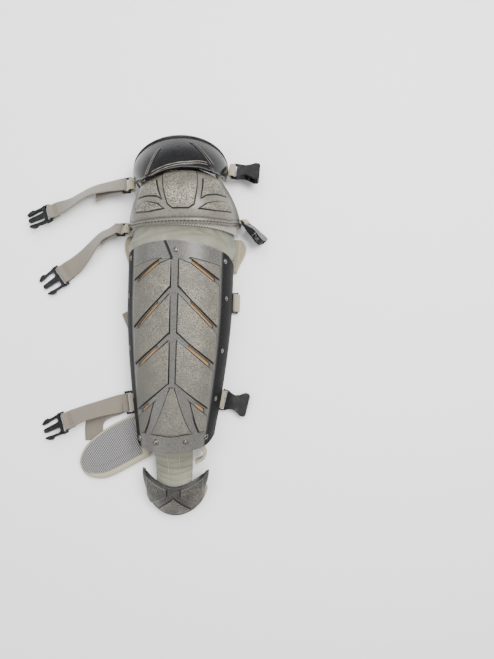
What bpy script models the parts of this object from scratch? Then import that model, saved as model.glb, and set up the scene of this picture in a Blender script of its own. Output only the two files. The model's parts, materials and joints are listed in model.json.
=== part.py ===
"""Catcher leg guard, lying face up on the floor with its straps spread.

Metres, +Z up, +Y toward the thigh, +X to the right. While the parts are made, the
shin plate's ridge runs over the Y axis; rest_on_origin then moves the whole guard so
that the origin is at the bottom centre of its box.
"""

import math
from collections import namedtuple

import bmesh
import bpy
from mathutils import Matrix, Vector

# Shells
PLATE_WALL = 0.0035
RELIEF = 0.0022
FOOT = 0.014
ARCH_POWER = 2.2
GAP = 0.0004
PAD_THICKNESS = 0.010

# Shin
SHIN_TOP = 0.133
SHIN_LENGTH = 0.322
SHIN_TOP_HALF = 0.085
SHIN_BOTTOM_HALF = 0.0605
SHIN_TOP_RIDGE = 0.097
SHIN_BOTTOM_RIDGE = 0.077
SHIN_TOP_DROP = 0.0165
SHIN_BOTTOM_RISE = 0.009
SHIN_CORNER = 0.008
SHIN_SKEW = 0.045
SHIN_PAD_INSET = 0.012
CALF_NOTCH_HEIGHT = 0.013
CALF_NOTCH_PLACE = 0.030
CALF_NOTCH_HALF = 0.046

# Knee
KNEE_SPACE = 0.024
KNEE_SHIFT = 0.005
KNEE_TURN = math.radians(3.0)
KNEE_HALF = 0.090
KNEE_LENGTH = 0.090
KNEE_RIDGE = 0.112
KNEE_EDGE_RIDGE = 0.104
KNEE_BACK_RIDGE = 0.086
KNEE_BACK_FOOT = 0.052
KNEE_CORNER = 0.008
KNEE_SEAM_INSET = 0.010

# Thigh
THIGH_PLACE = 0.093
THIGH_SHIFT = -0.010
THIGH_TURN = math.radians(6.2)
THIGH_HALF = 0.075
THIGH_LOW_HALF = 0.070
THIGH_RISE = 0.0505
THIGH_LOW_DROP = 0.010
THIGH_BACK_HEIGHT = 0.062
THIGH_FRONT_HEIGHT = 0.106
THIGH_TIP_HEIGHT = 0.020
THIGH_WALL = 0.003
THIGH_BULGE = 0.005
THIGH_PAD = 0.008
THIGH_RIM = 0.0016

# Toe
TOE_PLACE = 0.0385
TOE_SHIFT = 0.003
TOE_HALF = 0.050
TOE_LENGTH = 0.0766
TOE_TOP_DIP = 0.022
TOE_HEIGHT = 0.050
TOE_TIP_HEIGHT = 0.026
TOE_EDGE_HEIGHT = 0.020
TOE_BULGE = 0.006
TOE_WALL = 0.003
TOE_PAD = 0.006
TOE_PAD_RIM = 0.0065
TOE_TAB_HALF = 0.032
TOE_TAB_THICKNESS = 0.003

# Gusset and small soft pieces
GUSSET_THICKNESS = 0.0025
GUSSET_DIP = 0.008
GUSSET_SIDE = 0.008
MESH_THICKNESS = 0.0014
MESH_SHOW = 0.0045
SIDE_PAD_THICKNESS = 0.0105
SIDE_PAD_LENGTH = 0.056
SIDE_PAD_LEFT = 0.012
SIDE_PAD_RIGHT = 0.019
WING_REACH = 0.096
WING_LENGTH = 0.112
WING_THICKNESS = 0.009
ROLL_THICKNESS = 0.005
ROLL_HEIGHT = 0.024
ROLL_REACH = 0.020

# Straps and their hardware
WEBBING_WIDTH = 0.030
WEBBING_THICKNESS = 0.0018
BAR = 0.0024
LOOP_LENGTH = 0.0045
SLIDE_DEPTH = 0.013
HARDWARE_SIDE = 0.0035
CALF_CATCH_PLACE = 0.047
CALF_CATCH_LOOP = 0.0078
ANKLE_CATCH_LOOP = 0.0012
FEMALE_LENGTH = 0.044
FEMALE_HALF = 0.020
FEMALE_THICKNESS = 0.011
SOCKET_HALF = 0.0135
SOCKET_HEIGHT = 0.0076
SOCKET_DEPTH = 0.022
MALE_LENGTH = 0.038
MALE_THICKNESS = 0.0045
SEWN_END = 0.014
RIVET_RADIUS = 0.0047
RIVET_HEIGHT = 0.0024

BAR_TURN = 0.9 * BAR + WEBBING_THICKNESS / 2
BEND_LIMIT = math.radians(89.5)

COLOURS = {
    "worn_plastic": ((0.10, 0.098, 0.088), 0.42, 0.0),
    "gloss_plastic": ((0.012, 0.012, 0.014), 0.2, 0.0),
    "leatherette": ((0.27, 0.27, 0.20), 0.55, 0.0),
    "mesh_fabric": ((0.36, 0.35, 0.34), 0.8, 0.0),
    "cream_fabric": ((0.47, 0.42, 0.31), 0.8, 0.0),
    "liner_foam": ((0.30, 0.24, 0.16), 0.85, 0.0),
    "webbing": ((0.32, 0.29, 0.25), 0.75, 0.0),
    "black_plastic": ((0.015, 0.015, 0.016), 0.35, 0.0),
    "rivet_metal": ((0.42, 0.40, 0.38), 0.3, 1.0),
}

# One row of the shin's relief: distance from the top edge, as a share of the length, at
# the centre, at the slots' inner ends, at the panels' outer edge and at the plate's edge.
Row = namedtuple("Row", "centre inner outer edge kind")
SHIN_ROWS = (
    Row(0.000, 0.000, 0.000, 0.000, "top"),
    Row(0.071, 0.079, 0.107, 0.127, "base"),
    Row(0.076, 0.083, 0.115, 0.137, "wedge"),
    Row(0.078, 0.085, 0.169, 0.196, "wedge"),
    Row(0.081, 0.087, 0.182, 0.208, "slot"),
    Row(0.0845, 0.104, 0.199, 0.227, "base"),
    Row(0.090, 0.112, 0.208, 0.236, "panel"),
    Row(0.208, 0.269, 0.394, 0.441, "panel"),
    Row(0.227, 0.279, 0.407, 0.453, "slot"),
    Row(0.239, 0.298, 0.424, 0.472, "base"),
    Row(0.256, 0.307, 0.435, 0.481, "panel"),
    Row(0.425, 0.474, 0.571, 0.612, "panel"),
    Row(0.441, 0.486, 0.585, 0.627, "slot"),
    Row(0.457, 0.503, 0.604, 0.646, "base"),
    Row(0.474, 0.512, 0.615, 0.655, "panel"),
    Row(0.665, 0.703, 0.789, 0.817, "panel"),
    Row(0.675, 0.717, 0.804, 0.832, "short slot"),
    Row(0.683, 0.734, 0.823, 0.851, "base"),
    Row(0.693, 0.7375, 0.835, 0.863, "apex"),
    Row(0.915, 0.907, 0.901, 0.904, "foot"),
    Row(0.925, 0.918, 0.913, 0.916, "low"),
    Row(1.000, 1.000, 1.000, 1.000, "bottom"),
)
# Columns across the shin, as shares of its half width; the last rows spread the inner
# ones round the cone and the two small triangles.
SHIN_COLUMNS = (0.0, 0.05, 0.085, 0.28, 0.50, 0.70, 0.745, 0.785, 0.87, 0.94, 0.985, 1.0)
SHIN_SPREAD = {
    "apex": (0.0, 0.03, 0.06, 0.41, 0.54, 0.68, 0.735),
    "foot": (0.0, 0.45, 0.48, 0.645, 0.68, 0.72, 0.75),
    "low": (0.0, 0.47, 0.51, 0.655, 0.69, 0.73, 0.76),
    "bottom": (0.0, 0.25, 0.42, 0.60, 0.68, 0.73, 0.76),
}
SHIN_STATIONS = (0.085, 0.28, 0.745, 1.0)
SLOT_COLUMNS = {"slot": (3, 4), "short slot": (4,)}
RAISED = {
    "wedge": (4, 5, 6),
    "panel": (2, 3, 4, 5, 6),
    "apex": (0, 3, 4, 5, 6),
    "foot": (0, 1, 3, 4, 5, 6),
}

# The knee's relief, as shares of its length from the seam edge
KneeRow = namedtuple("KneeRow", "centre inner middle outer edge raised")
KNEE_ROWS = (
    KneeRow(0.00, 0.00, 0.00, 0.01, 0.09, ()),
    KneeRow(0.155, 0.16, 0.17, 0.19, 0.24, ()),
    KneeRow(0.20, 0.23, 0.26, 0.29, 0.31, (0, 1, 5, 6, 7)),
    KneeRow(0.29, 0.30, 0.42, 0.48, 0.51, (0, 1, 2, 5, 6, 7)),
    KneeRow(0.32, 0.33, 0.47, 0.53, 0.55, (0, 1, 2)),
    KneeRow(0.36, 0.37, 0.51, 0.57, 0.60, (0, 1, 2, 5, 6, 7)),
    KneeRow(0.58, 0.58, 0.63, 0.65, 0.66, (0, 1, 2, 5, 6, 7)),
    KneeRow(0.78, 0.77, 0.76, 0.73, 0.71, (0, 1, 2, 5, 6, 7)),
    KneeRow(1.00, 0.99, 0.92, 0.85, 0.775, ()),
)
KNEE_COLUMNS = (0.0, 0.16, 0.235, 0.265, 0.30, 0.335, 0.56, 0.78, 0.82, 0.90, 0.96, 1.0)
KNEE_STATIONS = (0.0, 0.33, 0.56, 0.82, 1.0)
KNEE_FLARE = 0.11

# Rows of the thigh and toe crescents, from the lower edge to the top edge
CRESCENT_ROWS = (0.0, 0.08, 0.3, 0.55, 0.8, 0.93, 0.95, 1.0)
TOE_ROWS = (0.0, 0.06, 0.25, 0.5, 0.62, 0.66, 0.85, 0.9, 0.93, 1.0)
CRESCENT_SIDES = 16

# Outline of the ankle wing: shares of its reach outward and of its length downward
WING_OUTLINE = (
    (0.014, 0.0), (0.28, 0.105), (0.61, 0.28), (0.884, 0.493), (1.0, 0.704), (0.975, 0.85),
    (0.864, 0.958), (0.6625, 1.0), (0.477, 0.97), (0.2385, 0.865), (-0.043, 0.722),
    (-0.21, 0.643),
)
WING_PLACE = 0.848
SIDE_PAD_OUTLINE = ((0.0, 0.25), (0.25, 0.5), (0.5, 0.86), (0.75, 1.0), (0.93, 0.75), (1.0, 0.45))
ROLL_ROUTE = ((0.0, 0.0), (0.55, 0.03), (0.9, -0.25), (0.98, -0.6), (0.78, -0.95), (0.3, -1.2))

# Buckle outlines: shares of the length forward and of the half width sideways
FEMALE_OUTLINE = ((-0.0273, 0.88), (0.17, 0.84), (0.32, 0.66), (0.45, 0.58), (0.60, 0.68),
                  (0.82, 0.98), (0.95, 0.96), (1.0, 0.80))
FEMALE_TAPER = ((0.05, 0.22), (0.20, 0.50), (0.35, 0.85), (2.0, 1.0))
MALE_OUTLINE = ((-0.0316, 1.0), (0.21, 1.0), (0.27, 0.92), (0.62, 0.86), (0.72, 1.0), (0.86, 0.94),
                (1.02, 0.70), (0.98, 0.58), (0.80, 0.60), (0.66, 0.66), (0.34, 0.70), (0.28, 0.60),
                (0.28, 0.32), (0.35, 0.24), (0.94, 0.19), (1.0, 0.13))

# A strap's way from its slide: shares of its reach outward and along, the height of its
# middle as a share of the webbing's width, and its roll in degrees
RoutePoint = namedtuple("RoutePoint", "out along height roll")
Strap = namedtuple("Strap", "name reach route tail heading")
THIGH_ROUTE = (
    RoutePoint(0.22, -0.018, 0.70, 42), RoutePoint(0.45, -0.075, 0.63, 48),
    RoutePoint(0.62, -0.165, 0.56, 49), RoutePoint(0.75, -0.245, 0.49, 43),
    RoutePoint(1.0, -0.365, 0.40, 28),
)
THIGH_TAIL = (RoutePoint(0.24, -0.055, 0.48, 38), RoutePoint(0.42, -0.13, 0.37, 36))
KNEE_ROUTE = (
    RoutePoint(0.22, -0.045, 0.56, 51), RoutePoint(0.36, -0.12, 0.52, 50),
    RoutePoint(0.50, -0.28, 0.45, 42), RoutePoint(0.64, -0.45, 0.35, 29),
    RoutePoint(0.78, -0.59, 0.26, 12), RoutePoint(1.0, -0.76, 0.20, 4),
)
KNEE_TAIL = (RoutePoint(0.24, -0.085, 0.46, 50), RoutePoint(0.38, -0.19, 0.40, 46))
ANKLE_ROUTE = (
    RoutePoint(0.16, -0.025, 0.42, 16), RoutePoint(0.40, -0.09, 0.50, 34),
    RoutePoint(0.66, -0.175, 0.47, 37), RoutePoint(0.80, -0.235, 0.43, 33),
    RoutePoint(1.0, -0.34, 0.39, 25),
)
ANKLE_TAIL = (
    RoutePoint(0.22, -0.08, 0.21, 14), RoutePoint(0.36, -0.14, 0.24, 22),
    RoutePoint(0.48, -0.22, 0.13, 8), RoutePoint(0.56, -0.34, 0.05, 0),
    RoutePoint(0.57, -0.50, 0.045, 0), RoutePoint(0.56, -0.63, 0.045, 0),
)
CALF_ROUTE = (
    RoutePoint(0.14, 0.07, 0.05, 0), RoutePoint(0.33, 0.08, 0.05, 0),
    RoutePoint(0.50, -0.02, 0.05, 0), RoutePoint(0.64, -0.24, 0.06, 0),
    RoutePoint(0.71, -0.52, 0.10, 0), RoutePoint(0.73, -0.72, 0.155, 0),
)
CALF_REACH = 0.135
CALF_FOLD_REACH = 0.016
CALF_FOLD_HEIGHT = 0.0075
CALF_HEADING = math.radians(205)


def clear_scene():
    for obj in list(bpy.data.objects):
        bpy.data.objects.remove(obj, do_unlink=True)


def make_collection(name):
    made = bpy.data.collections.new(name)
    bpy.context.scene.collection.children.link(made)
    return made


def make_material(name):
    colour, roughness, metallic = COLOURS[name]
    material = bpy.data.materials.new(name)
    material.use_nodes = True
    shader = material.node_tree.nodes["Principled BSDF"]
    shader.inputs["Base Color"].default_value = (*colour, 1.0)
    shader.inputs["Roughness"].default_value = roughness
    shader.inputs["Metallic"].default_value = metallic
    return material


clear_scene()
PARTS = make_collection("leg_guard")
CUTTERS = make_collection("cutters")
MATERIALS = {name: make_material(name) for name in COLOURS}


def add_object(name, mesh, material, matrix=None):
    obj = bpy.data.objects.new(name, mesh)
    mesh.materials.clear()
    mesh.materials.append(MATERIALS[material].copy())
    if matrix is not None:
        obj.matrix_world = matrix
    PARTS.objects.link(obj)
    return obj


def mesh_from(name, points, faces):
    """A mesh with its faces turned outward and unused points removed."""
    shape = bmesh.new()
    vertices = [shape.verts.new(point) for point in points]
    for face in faces:
        shape.faces.new([vertices[index] for index in face])
    loose = [vertex for vertex in shape.verts if not vertex.link_faces]
    bmesh.ops.delete(shape, geom=loose, context="VERTS")
    bmesh.ops.recalc_face_normals(shape, faces=shape.faces)
    mesh = bpy.data.meshes.new(name)
    shape.to_mesh(mesh)
    shape.free()
    return mesh


def shade(mesh, angle=40):
    mesh.shade_smooth()
    mesh.set_sharp_from_angle(angle=math.radians(angle))


def between(low, high, share):
    return low + (high - low) * share


def table(stations, values, place):
    """The value at a place between stations, with straight runs between them."""
    place = min(max(place, stations[0]), stations[-1])
    for index in range(len(stations) - 1):
        if place <= stations[index + 1]:
            span = stations[index + 1] - stations[index]
            return between(values[index], values[index + 1], (place - stations[index]) / span)
    return values[-1]


def through(points, steps):
    """A smooth curve through points of any dimension, with so many steps a span."""
    ends = [[2 * a - b for a, b in zip(points[0], points[1])]]
    ends += [list(point) for point in points]
    ends += [[2 * a - b for a, b in zip(points[-1], points[-2])]]
    curve = []
    for index in range(1, len(ends) - 2):
        p0, p1, p2, p3 = ends[index - 1:index + 3]
        for step in range(steps):
            t = step / steps
            curve.append([
                0.5 * (2 * b + (c - a) * t + (2 * a - 5 * b + 4 * c - d) * t * t
                       + (3 * b - a - 3 * c + d) * t ** 3)
                for a, b, c, d in zip(p0, p1, p2, p3)
            ])
    return curve + [list(points[-1])]


# Surfaces

def arch(angle, half, ridge, foot):
    side = math.sin(angle)
    lift = max(0.0, 1 - abs(side) ** ARCH_POWER) ** (1 / ARCH_POWER)
    return half * side, foot + (ridge - foot) * lift


def shin_half(y):
    share = (SHIN_TOP - y) / SHIN_LENGTH
    narrowing = min(1.0, max(0.0, (share - 0.28) / 0.70)) ** 1.6
    return between(SHIN_TOP_HALF, SHIN_BOTTOM_HALF, narrowing)


def shin_surface(angle, y):
    share = (SHIN_TOP - y) / SHIN_LENGTH
    ridge = between(SHIN_TOP_RIDGE, SHIN_BOTTOM_RIDGE, share)
    x, z = arch(angle, shin_half(y), ridge, FOOT)
    return Vector((x, y, z))


def shin_top_edge(side):
    corner = max(0.0, abs(side) - 0.85) / 0.15
    return SHIN_TOP - SHIN_TOP_DROP * side * side - SHIN_CORNER * corner ** 2


def shin_bottom_edge(side):
    corner = max(0.0, abs(side) - 0.85) / 0.15
    rise = SHIN_BOTTOM_RISE * side * side + SHIN_CORNER * corner ** 2
    return SHIN_TOP - SHIN_LENGTH + rise + SHIN_SKEW * side * SHIN_BOTTOM_HALF


KNEE_PLACE = Matrix.Translation((KNEE_SHIFT, SHIN_TOP + KNEE_SPACE, 0)) @ Matrix.Rotation(
    KNEE_TURN, 4, "Z")


def knee_half(y):
    share = max(0.0, y) / (1.22 * KNEE_LENGTH)
    return KNEE_HALF * max(0.0, 1 - share ** 2.1) ** 0.625


def knee_point(angle, y):
    """A point of the knee dome in its own frame, y from the seam edge upward."""
    share = y / KNEE_LENGTH
    crest = 0.37
    if share < crest:
        ridge = KNEE_RIDGE - (KNEE_RIDGE - KNEE_EDGE_RIDGE) * ((crest - share) / crest) ** 2
    else:
        ridge = between(KNEE_RIDGE, KNEE_BACK_RIDGE, ((share - crest) / (1 - crest)) ** 2)
    lifted = max(0.0, (share - 0.44) / 0.56) ** 1.6
    foot = between(FOOT, KNEE_BACK_FOOT, lifted)
    x, z = arch(angle, knee_half(y), ridge, foot)
    return Vector((x, y, z))


def knee_surface(angle, y):
    return KNEE_PLACE @ knee_point(angle, y)


THIGH_FRAME = Matrix.Translation(
    (KNEE_SHIFT + THIGH_SHIFT, SHIN_TOP + KNEE_SPACE + THIGH_PLACE, 0)
) @ Matrix.Rotation(THIGH_TURN, 4, "Z")


def crescent(low, high, bulge):
    """A surface between two edges, swollen outward between them."""
    def surface(angle, share):
        start, end = low(angle), high(angle)
        out = Vector((math.sin(angle) * 0.8, 0.35, math.cos(angle)))
        return start.lerp(end, share) + out * bulge * math.sin(math.pi * share)
    return surface


THIGH_LOBES = ((-1.0, -0.75, -0.5, -0.2, 0.15, 0.5, 0.75, 0.93, 1.0),
               (0.0, 0.010, 0.011, 0.006, 0.003, 0.003, 0.006, 0.005, 0.0))


def thigh_low_edge(angle):
    side, level = math.sin(angle), max(0.0, math.cos(angle))
    lobe = table(*THIGH_LOBES, side)
    height = between(THIGH_TIP_HEIGHT, THIGH_FRONT_HEIGHT, level ** 0.66) + 0.35 * lobe
    return Vector((THIGH_LOW_HALF * side,
                   -THIGH_LOW_DROP - 0.4 * THIGH_LOW_DROP * side ** 2 - lobe, height))


def thigh_high_edge(angle):
    side, level = math.sin(angle), max(0.0, math.cos(angle))
    return Vector((THIGH_HALF * side, 0.0095 + (THIGH_RISE - 0.0095) * level,
                   between(THIGH_TIP_HEIGHT, THIGH_BACK_HEIGHT, level ** 0.9)))


THIGH_LOCAL = crescent(thigh_low_edge, thigh_high_edge, THIGH_BULGE)


def thigh_surface(angle, share):
    return THIGH_FRAME @ THIGH_LOCAL(angle, share)


TOE_TOP = SHIN_TOP - SHIN_LENGTH - TOE_PLACE


def toe_edges(half, rise, length, shift):
    """The tip outline and the hollow top edge of the toe plate or of its pad."""
    def low(angle):
        side, level = math.sin(angle), max(0.0, math.cos(angle))
        return Vector((TOE_SHIFT + shift + half * side, TOE_TOP + rise - length * level ** 0.8,
                       between(TOE_TIP_HEIGHT, TOE_EDGE_HEIGHT, level)))

    def high(angle):
        side, level = math.sin(angle), max(0.0, math.cos(angle))
        dip = TOE_TOP_DIP * (1 - abs(side) ** 1.7)
        return Vector((TOE_SHIFT + shift + half * side * 0.97, TOE_TOP + rise - dip,
                       between(TOE_TIP_HEIGHT, TOE_HEIGHT, level ** 0.9)))
    return low, high


def toe_surface(angle, share):
    low, high = toe_edges(TOE_HALF, 0.0, TOE_LENGTH, 0.0)
    return crescent(low, high, TOE_BULGE)(angle, share)


def normal_at(surface, angle, place, step=0.0004):
    bend = math.radians(0.4)
    angle = min(max(angle, -BEND_LIMIT), BEND_LIMIT)
    across = surface(angle + bend, place) - surface(angle - bend, place)
    along = surface(angle, place + step) - surface(angle, place - step)
    return across.cross(along).normalized()


def beneath(surface, angle, place, depth):
    return surface(angle, place) - normal_at(surface, angle, place) * depth


# Solids from surfaces

def loft_shell(name, outer, inner, material, gaps=()):
    """A closed shell between a worked face and a smooth back, open at the gap cells."""
    rows, columns = len(outer), len(outer[0])
    points = [point for row in outer for point in row] + [point for row in inner for point in row]
    back = rows * columns
    faces, border = [], set()
    for i in range(rows - 1):
        for j in range(columns - 1):
            if (i, j) in gaps:
                continue
            corners = [i * columns + j, i * columns + j + 1,
                       (i + 1) * columns + j + 1, (i + 1) * columns + j]
            faces.append(corners)
            faces.append([back + corner for corner in reversed(corners)])
            for start, end in zip(corners, corners[1:] + corners[:1]):
                if (end, start) in border:
                    border.remove((end, start))
                else:
                    border.add((start, end))
    for start, end in sorted(border):
        faces.append([end, start, back + start, back + end])
    mesh = mesh_from(name, points, faces)
    shade(mesh)
    return add_object(name, mesh, material)


def padded_sheet(name, rows, thickness, material):
    """An open grid of points thickened inward with Solidify."""
    columns = len(rows[0])
    faces = [
        [i * columns + j, i * columns + j + 1, (i + 1) * columns + j + 1, (i + 1) * columns + j]
        for i in range(len(rows) - 1) for j in range(columns - 1)
    ]
    mesh = bpy.data.meshes.new(name)
    mesh.from_pydata([tuple(point) for row in rows for point in row], [], faces)
    shade(mesh)
    obj = add_object(name, mesh, material)
    solid = obj.modifiers.new("thickness", "SOLIDIFY")
    solid.thickness = thickness
    solid.offset = -1.0 if mesh.polygons[len(faces) // 2].normal.z > 0 else 1.0
    solid.use_even_offset = False
    return obj


def both_sides(columns):
    return [-column for column in reversed(columns[1:])] + list(columns)


def arch_angles(count):
    return [math.radians(-90 + 180 * index / (count - 1)) for index in range(count)]


def legs(row, bottom_left, bottom_right):
    """A row of points with a straight leg added below each end."""
    first, last = row[0].copy(), row[-1].copy()
    first.z, last.z = bottom_left, bottom_right
    return [first] + row + [last]


# Plates

def shin_columns(kind):
    spread = SHIN_SPREAD.get(kind, ())
    return both_sides(list(spread) + list(SHIN_COLUMNS[len(spread):]))


def shin_row_y(row, side):
    if row.kind == "top":
        return shin_top_edge(side)
    if row.kind == "bottom":
        return shin_bottom_edge(side)
    share = table(SHIN_STATIONS, (row.centre, row.inner, row.outer, row.edge), abs(side))
    y = SHIN_TOP - share * SHIN_LENGTH
    return y + SHIN_SKEW * side * shin_half(y)


def shin_plate():
    outer, inner, gaps = [], [], set()
    middle = len(SHIN_COLUMNS) - 1
    for index, row in enumerate(SHIN_ROWS):
        worked, smooth = [], []
        for column, side in enumerate(shin_columns(row.kind)):
            angle, y = math.asin(side), shin_row_y(row, side)
            raised = abs(column - middle) in RAISED.get(row.kind, ())
            worked.append(beneath(shin_surface, angle, y, -RELIEF if raised else 0.0))
        for side in both_sides(SHIN_COLUMNS):
            y = shin_row_y(row, side)
            smooth.append(beneath(shin_surface, math.asin(side), y, PLATE_WALL))
        outer.append(worked)
        inner.append(smooth)
        for column in SLOT_COLUMNS.get(row.kind, ()):
            gaps |= {(index, middle + column), (index, middle - column - 1)}
    return loft_shell("shin_plate", outer, inner, "worn_plastic", gaps)


def knee_row_y(row, side):
    values = (row.centre, row.inner, row.middle, row.outer, row.edge)
    return table(KNEE_STATIONS, values, abs(side)) * KNEE_LENGTH


def knee_side(column, row):
    """Columns two to five stand wider apart toward the thigh."""
    base = KNEE_COLUMNS[column]
    return base + KNEE_FLARE * row.centre if 2 <= column <= 5 else base


def knee_plate():
    outer, inner = [], []
    for row in KNEE_ROWS:
        worked, smooth = [], []
        sides = both_sides([knee_side(column, row) for column in range(len(KNEE_COLUMNS))])
        for column, side in enumerate(sides):
            angle, y = math.asin(side), knee_row_y(row, side)
            raised = abs(column - len(KNEE_COLUMNS) + 1) in row.raised
            worked.append(beneath(knee_surface, angle, y, -RELIEF if raised else 0.0))
            smooth.append(beneath(knee_surface, angle, y, PLATE_WALL))
        outer.append(worked)
        inner.append(smooth)
    return loft_shell("knee_plate", outer, inner, "worn_plastic")


def thigh_plate():
    outer, inner = [], []
    for share in CRESCENT_ROWS:
        rim = THIGH_RIM if share >= 0.95 else 0.0
        angles = arch_angles(CRESCENT_SIDES + 1)
        outer.append([beneath(thigh_surface, angle, share, -rim) for angle in angles])
        inner.append([beneath(thigh_surface, angle, share, THIGH_WALL) for angle in angles])
    return loft_shell("thigh_plate", outer, inner, "gloss_plastic")


def toe_plate():
    outer, inner = [], []
    angles = arch_angles(CRESCENT_SIDES + 1)
    for share in TOE_ROWS:
        worked = []
        for angle in angles:
            side = abs(math.sin(angle))
            peak = 0.06 <= share <= 0.62 and side < 0.75 - 0.9 * share
            wing = 0.62 <= share <= 0.85 and 0.25 < side < 0.9
            raised = peak or wing or share >= 0.93
            worked.append(beneath(toe_surface, angle, share, -RELIEF * 0.7 if raised else 0.0))
        outer.append(worked)
        inner.append([beneath(toe_surface, angle, share, TOE_WALL) for angle in angles])
    return loft_shell("toe_plate", outer, inner, "worn_plastic")


# Soft pieces behind and between the plates

PAD_DEPTH = PLATE_WALL + 3 * GAP
KNEE_PAD_DEPTH = PAD_DEPTH + 2 * GAP
PAD_ANGLES = arch_angles(19)


def calf_notch(y):
    """How far the pad's legs are lifted where the calf strap and buckle pass beneath."""
    share = abs(y - CALF_NOTCH_PLACE) / CALF_NOTCH_HALF
    return CALF_NOTCH_HEIGHT * min(1.0, max(0.0, (1 - share) / 0.18))


def shin_pad_top(side):
    return shin_top_edge(side) - SHIN_PAD_INSET * (1 - side * side) - 0.2 * SHIN_PAD_INSET


def shin_pad_bottom(side):
    return shin_bottom_edge(side) + SHIN_PAD_INSET * (1 - 0.6 * side * side)


def shin_pad():
    low, high = shin_pad_bottom(1.0), shin_pad_top(1.0)
    start = CALF_NOTCH_PLACE - CALF_NOTCH_HALF
    end = CALF_NOTCH_PLACE + CALF_NOTCH_HALF
    ramp = 0.18 * CALF_NOTCH_HALF
    places = [high, end, end - ramp, CALF_NOTCH_PLACE, start + ramp, start]
    places += [between(start, low, share) for share in (0.35, 0.7, 1.0)]
    rows = []
    for place in places:
        share = (high - place) / (high - low)
        row = []
        for angle in PAD_ANGLES:
            side = math.sin(angle)
            y = place + (1 - share) * (shin_pad_top(side) - high)
            y += share * (shin_pad_bottom(side) - low)
            row.append(beneath(shin_surface, angle, y, PAD_DEPTH))
        rows.append(legs(row, calf_notch(place), calf_notch(place)))
    return padded_sheet("shin_pad", rows, PAD_THICKNESS, "liner_foam")


def knee_edge(side):
    return knee_row_y(KNEE_ROWS[0], side)


def knee_pad():
    rows = []
    for share in (0.0, 0.2, 0.42, 0.62, 0.8, 1.0):
        row = []
        for angle in PAD_ANGLES:
            side = math.sin(angle)
            low = knee_edge(side) + KNEE_SEAM_INSET + 5 * GAP
            high = knee_row_y(KNEE_ROWS[-1], side) - 2 * GAP
            y = between(low, high, share)
            row.append(beneath(knee_surface, angle, y, KNEE_PAD_DEPTH))
        lift = max(0.0, row[0].z - FOOT)
        rows.append(legs(row, lift, lift))
    return padded_sheet("knee_pad", rows, PAD_THICKNESS, "liner_foam")


def thigh_pad():
    depth = THIGH_WALL + 3 * GAP
    angles = arch_angles(CRESCENT_SIDES + 1)
    rows = []
    for share in (0.0, 0.35, 0.7, 1.0):
        row = []
        for angle in angles:
            start = between(0.45, -0.258, math.sin(angle) ** 8)
            row.append(beneath(thigh_surface, angle, between(start, 0.95, share), depth))
        rows.append(row)
    return padded_sheet("thigh_pad", rows, THIGH_PAD, "cream_fabric")


def toe_pad():
    """Padding beneath the toe plate; its rim comes out under the plate's right edge."""
    depth = TOE_WALL + 3 * GAP
    rim_drop, under_drop = 1.2 * TOE_WALL, 1.4 * TOE_WALL
    outer, inner = [], []
    for row in range(6):
        top, bottom = [], []
        for angle in arch_angles(15)[1:-1]:
            edge = toe_surface(angle, 0.0)
            out = Vector((math.sin(angle), -0.8 * math.cos(angle), 0)).normalized()
            rim = TOE_PAD_RIM * (0.1 + 0.9 * max(0.0, math.sin(angle)))
            last = between(0.68, 0.78, abs(math.sin(angle)) ** 3)
            share = between(0.12, last, (row - 2) / 3)
            if row == 0:
                top.append(edge + out * rim - Vector((0, 0, rim_drop)))
                bottom.append(top[-1] - out * 0.001 - Vector((0, 0, 0.7 * TOE_PAD)))
            elif row == 1:
                top.append(edge - out * 0.6 * TOE_WALL - Vector((0, 0, under_drop)))
                bottom.append(top[-1] - out * 0.6 * TOE_PAD - Vector((0, 0, 0.7 * TOE_PAD)))
            else:
                deep = depth + 5 * GAP * math.sin(angle) ** 6
                top.append(beneath(toe_surface, angle, share, deep))
                bottom.append(beneath(toe_surface, angle, share, deep + TOE_PAD))
        outer.append(top)
        inner.append(bottom)
    return loft_shell("toe_pad", outer, inner, "cream_fabric")


def knee_gusset():
    rows = []
    low_depth, high_depth = PAD_DEPTH + GAP, KNEE_PAD_DEPTH + MESH_THICKNESS + 2 * GAP
    for share in (0.0, 0.12, 0.26, 0.4, 0.55, 0.7, 0.85, 1.0):
        row = []
        for angle in PAD_ANGLES:
            side, level = math.sin(angle), max(0.0, math.cos(angle))
            start = beneath(shin_surface, angle, shin_pad_top(side) + GAP, low_depth)
            y = knee_edge(side) + KNEE_SEAM_INSET - 2 * GAP
            end = beneath(knee_surface, angle, y, high_depth)
            point = start.lerp(end, share)
            point.z -= GUSSET_DIP * level * math.sin(math.pi * share) ** 2
            swell = math.sin(math.pi * min(1.0, share / 0.7)) ** 2
            point.x += GUSSET_SIDE * swell * side ** 3
            row.append(point)
        rows.append(row)
    return padded_sheet("knee_gusset", rows, GUSSET_THICKNESS, "leatherette")


def knee_mesh():
    rows = []
    for share in (0.0, 0.35, 0.7, 1.0):
        row = []
        for angle in PAD_ANGLES:
            side = math.sin(angle)
            low = -MESH_SHOW - math.sin(KNEE_TURN) * KNEE_HALF * side
            high = knee_edge(side) + 0.6 * KNEE_SEAM_INSET
            row.append(beneath(knee_surface, angle, between(low, high, share), KNEE_PAD_DEPTH))
        rows.append(row)
    return padded_sheet("knee_mesh", rows, MESH_THICKNESS, "mesh_fabric")


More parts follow.
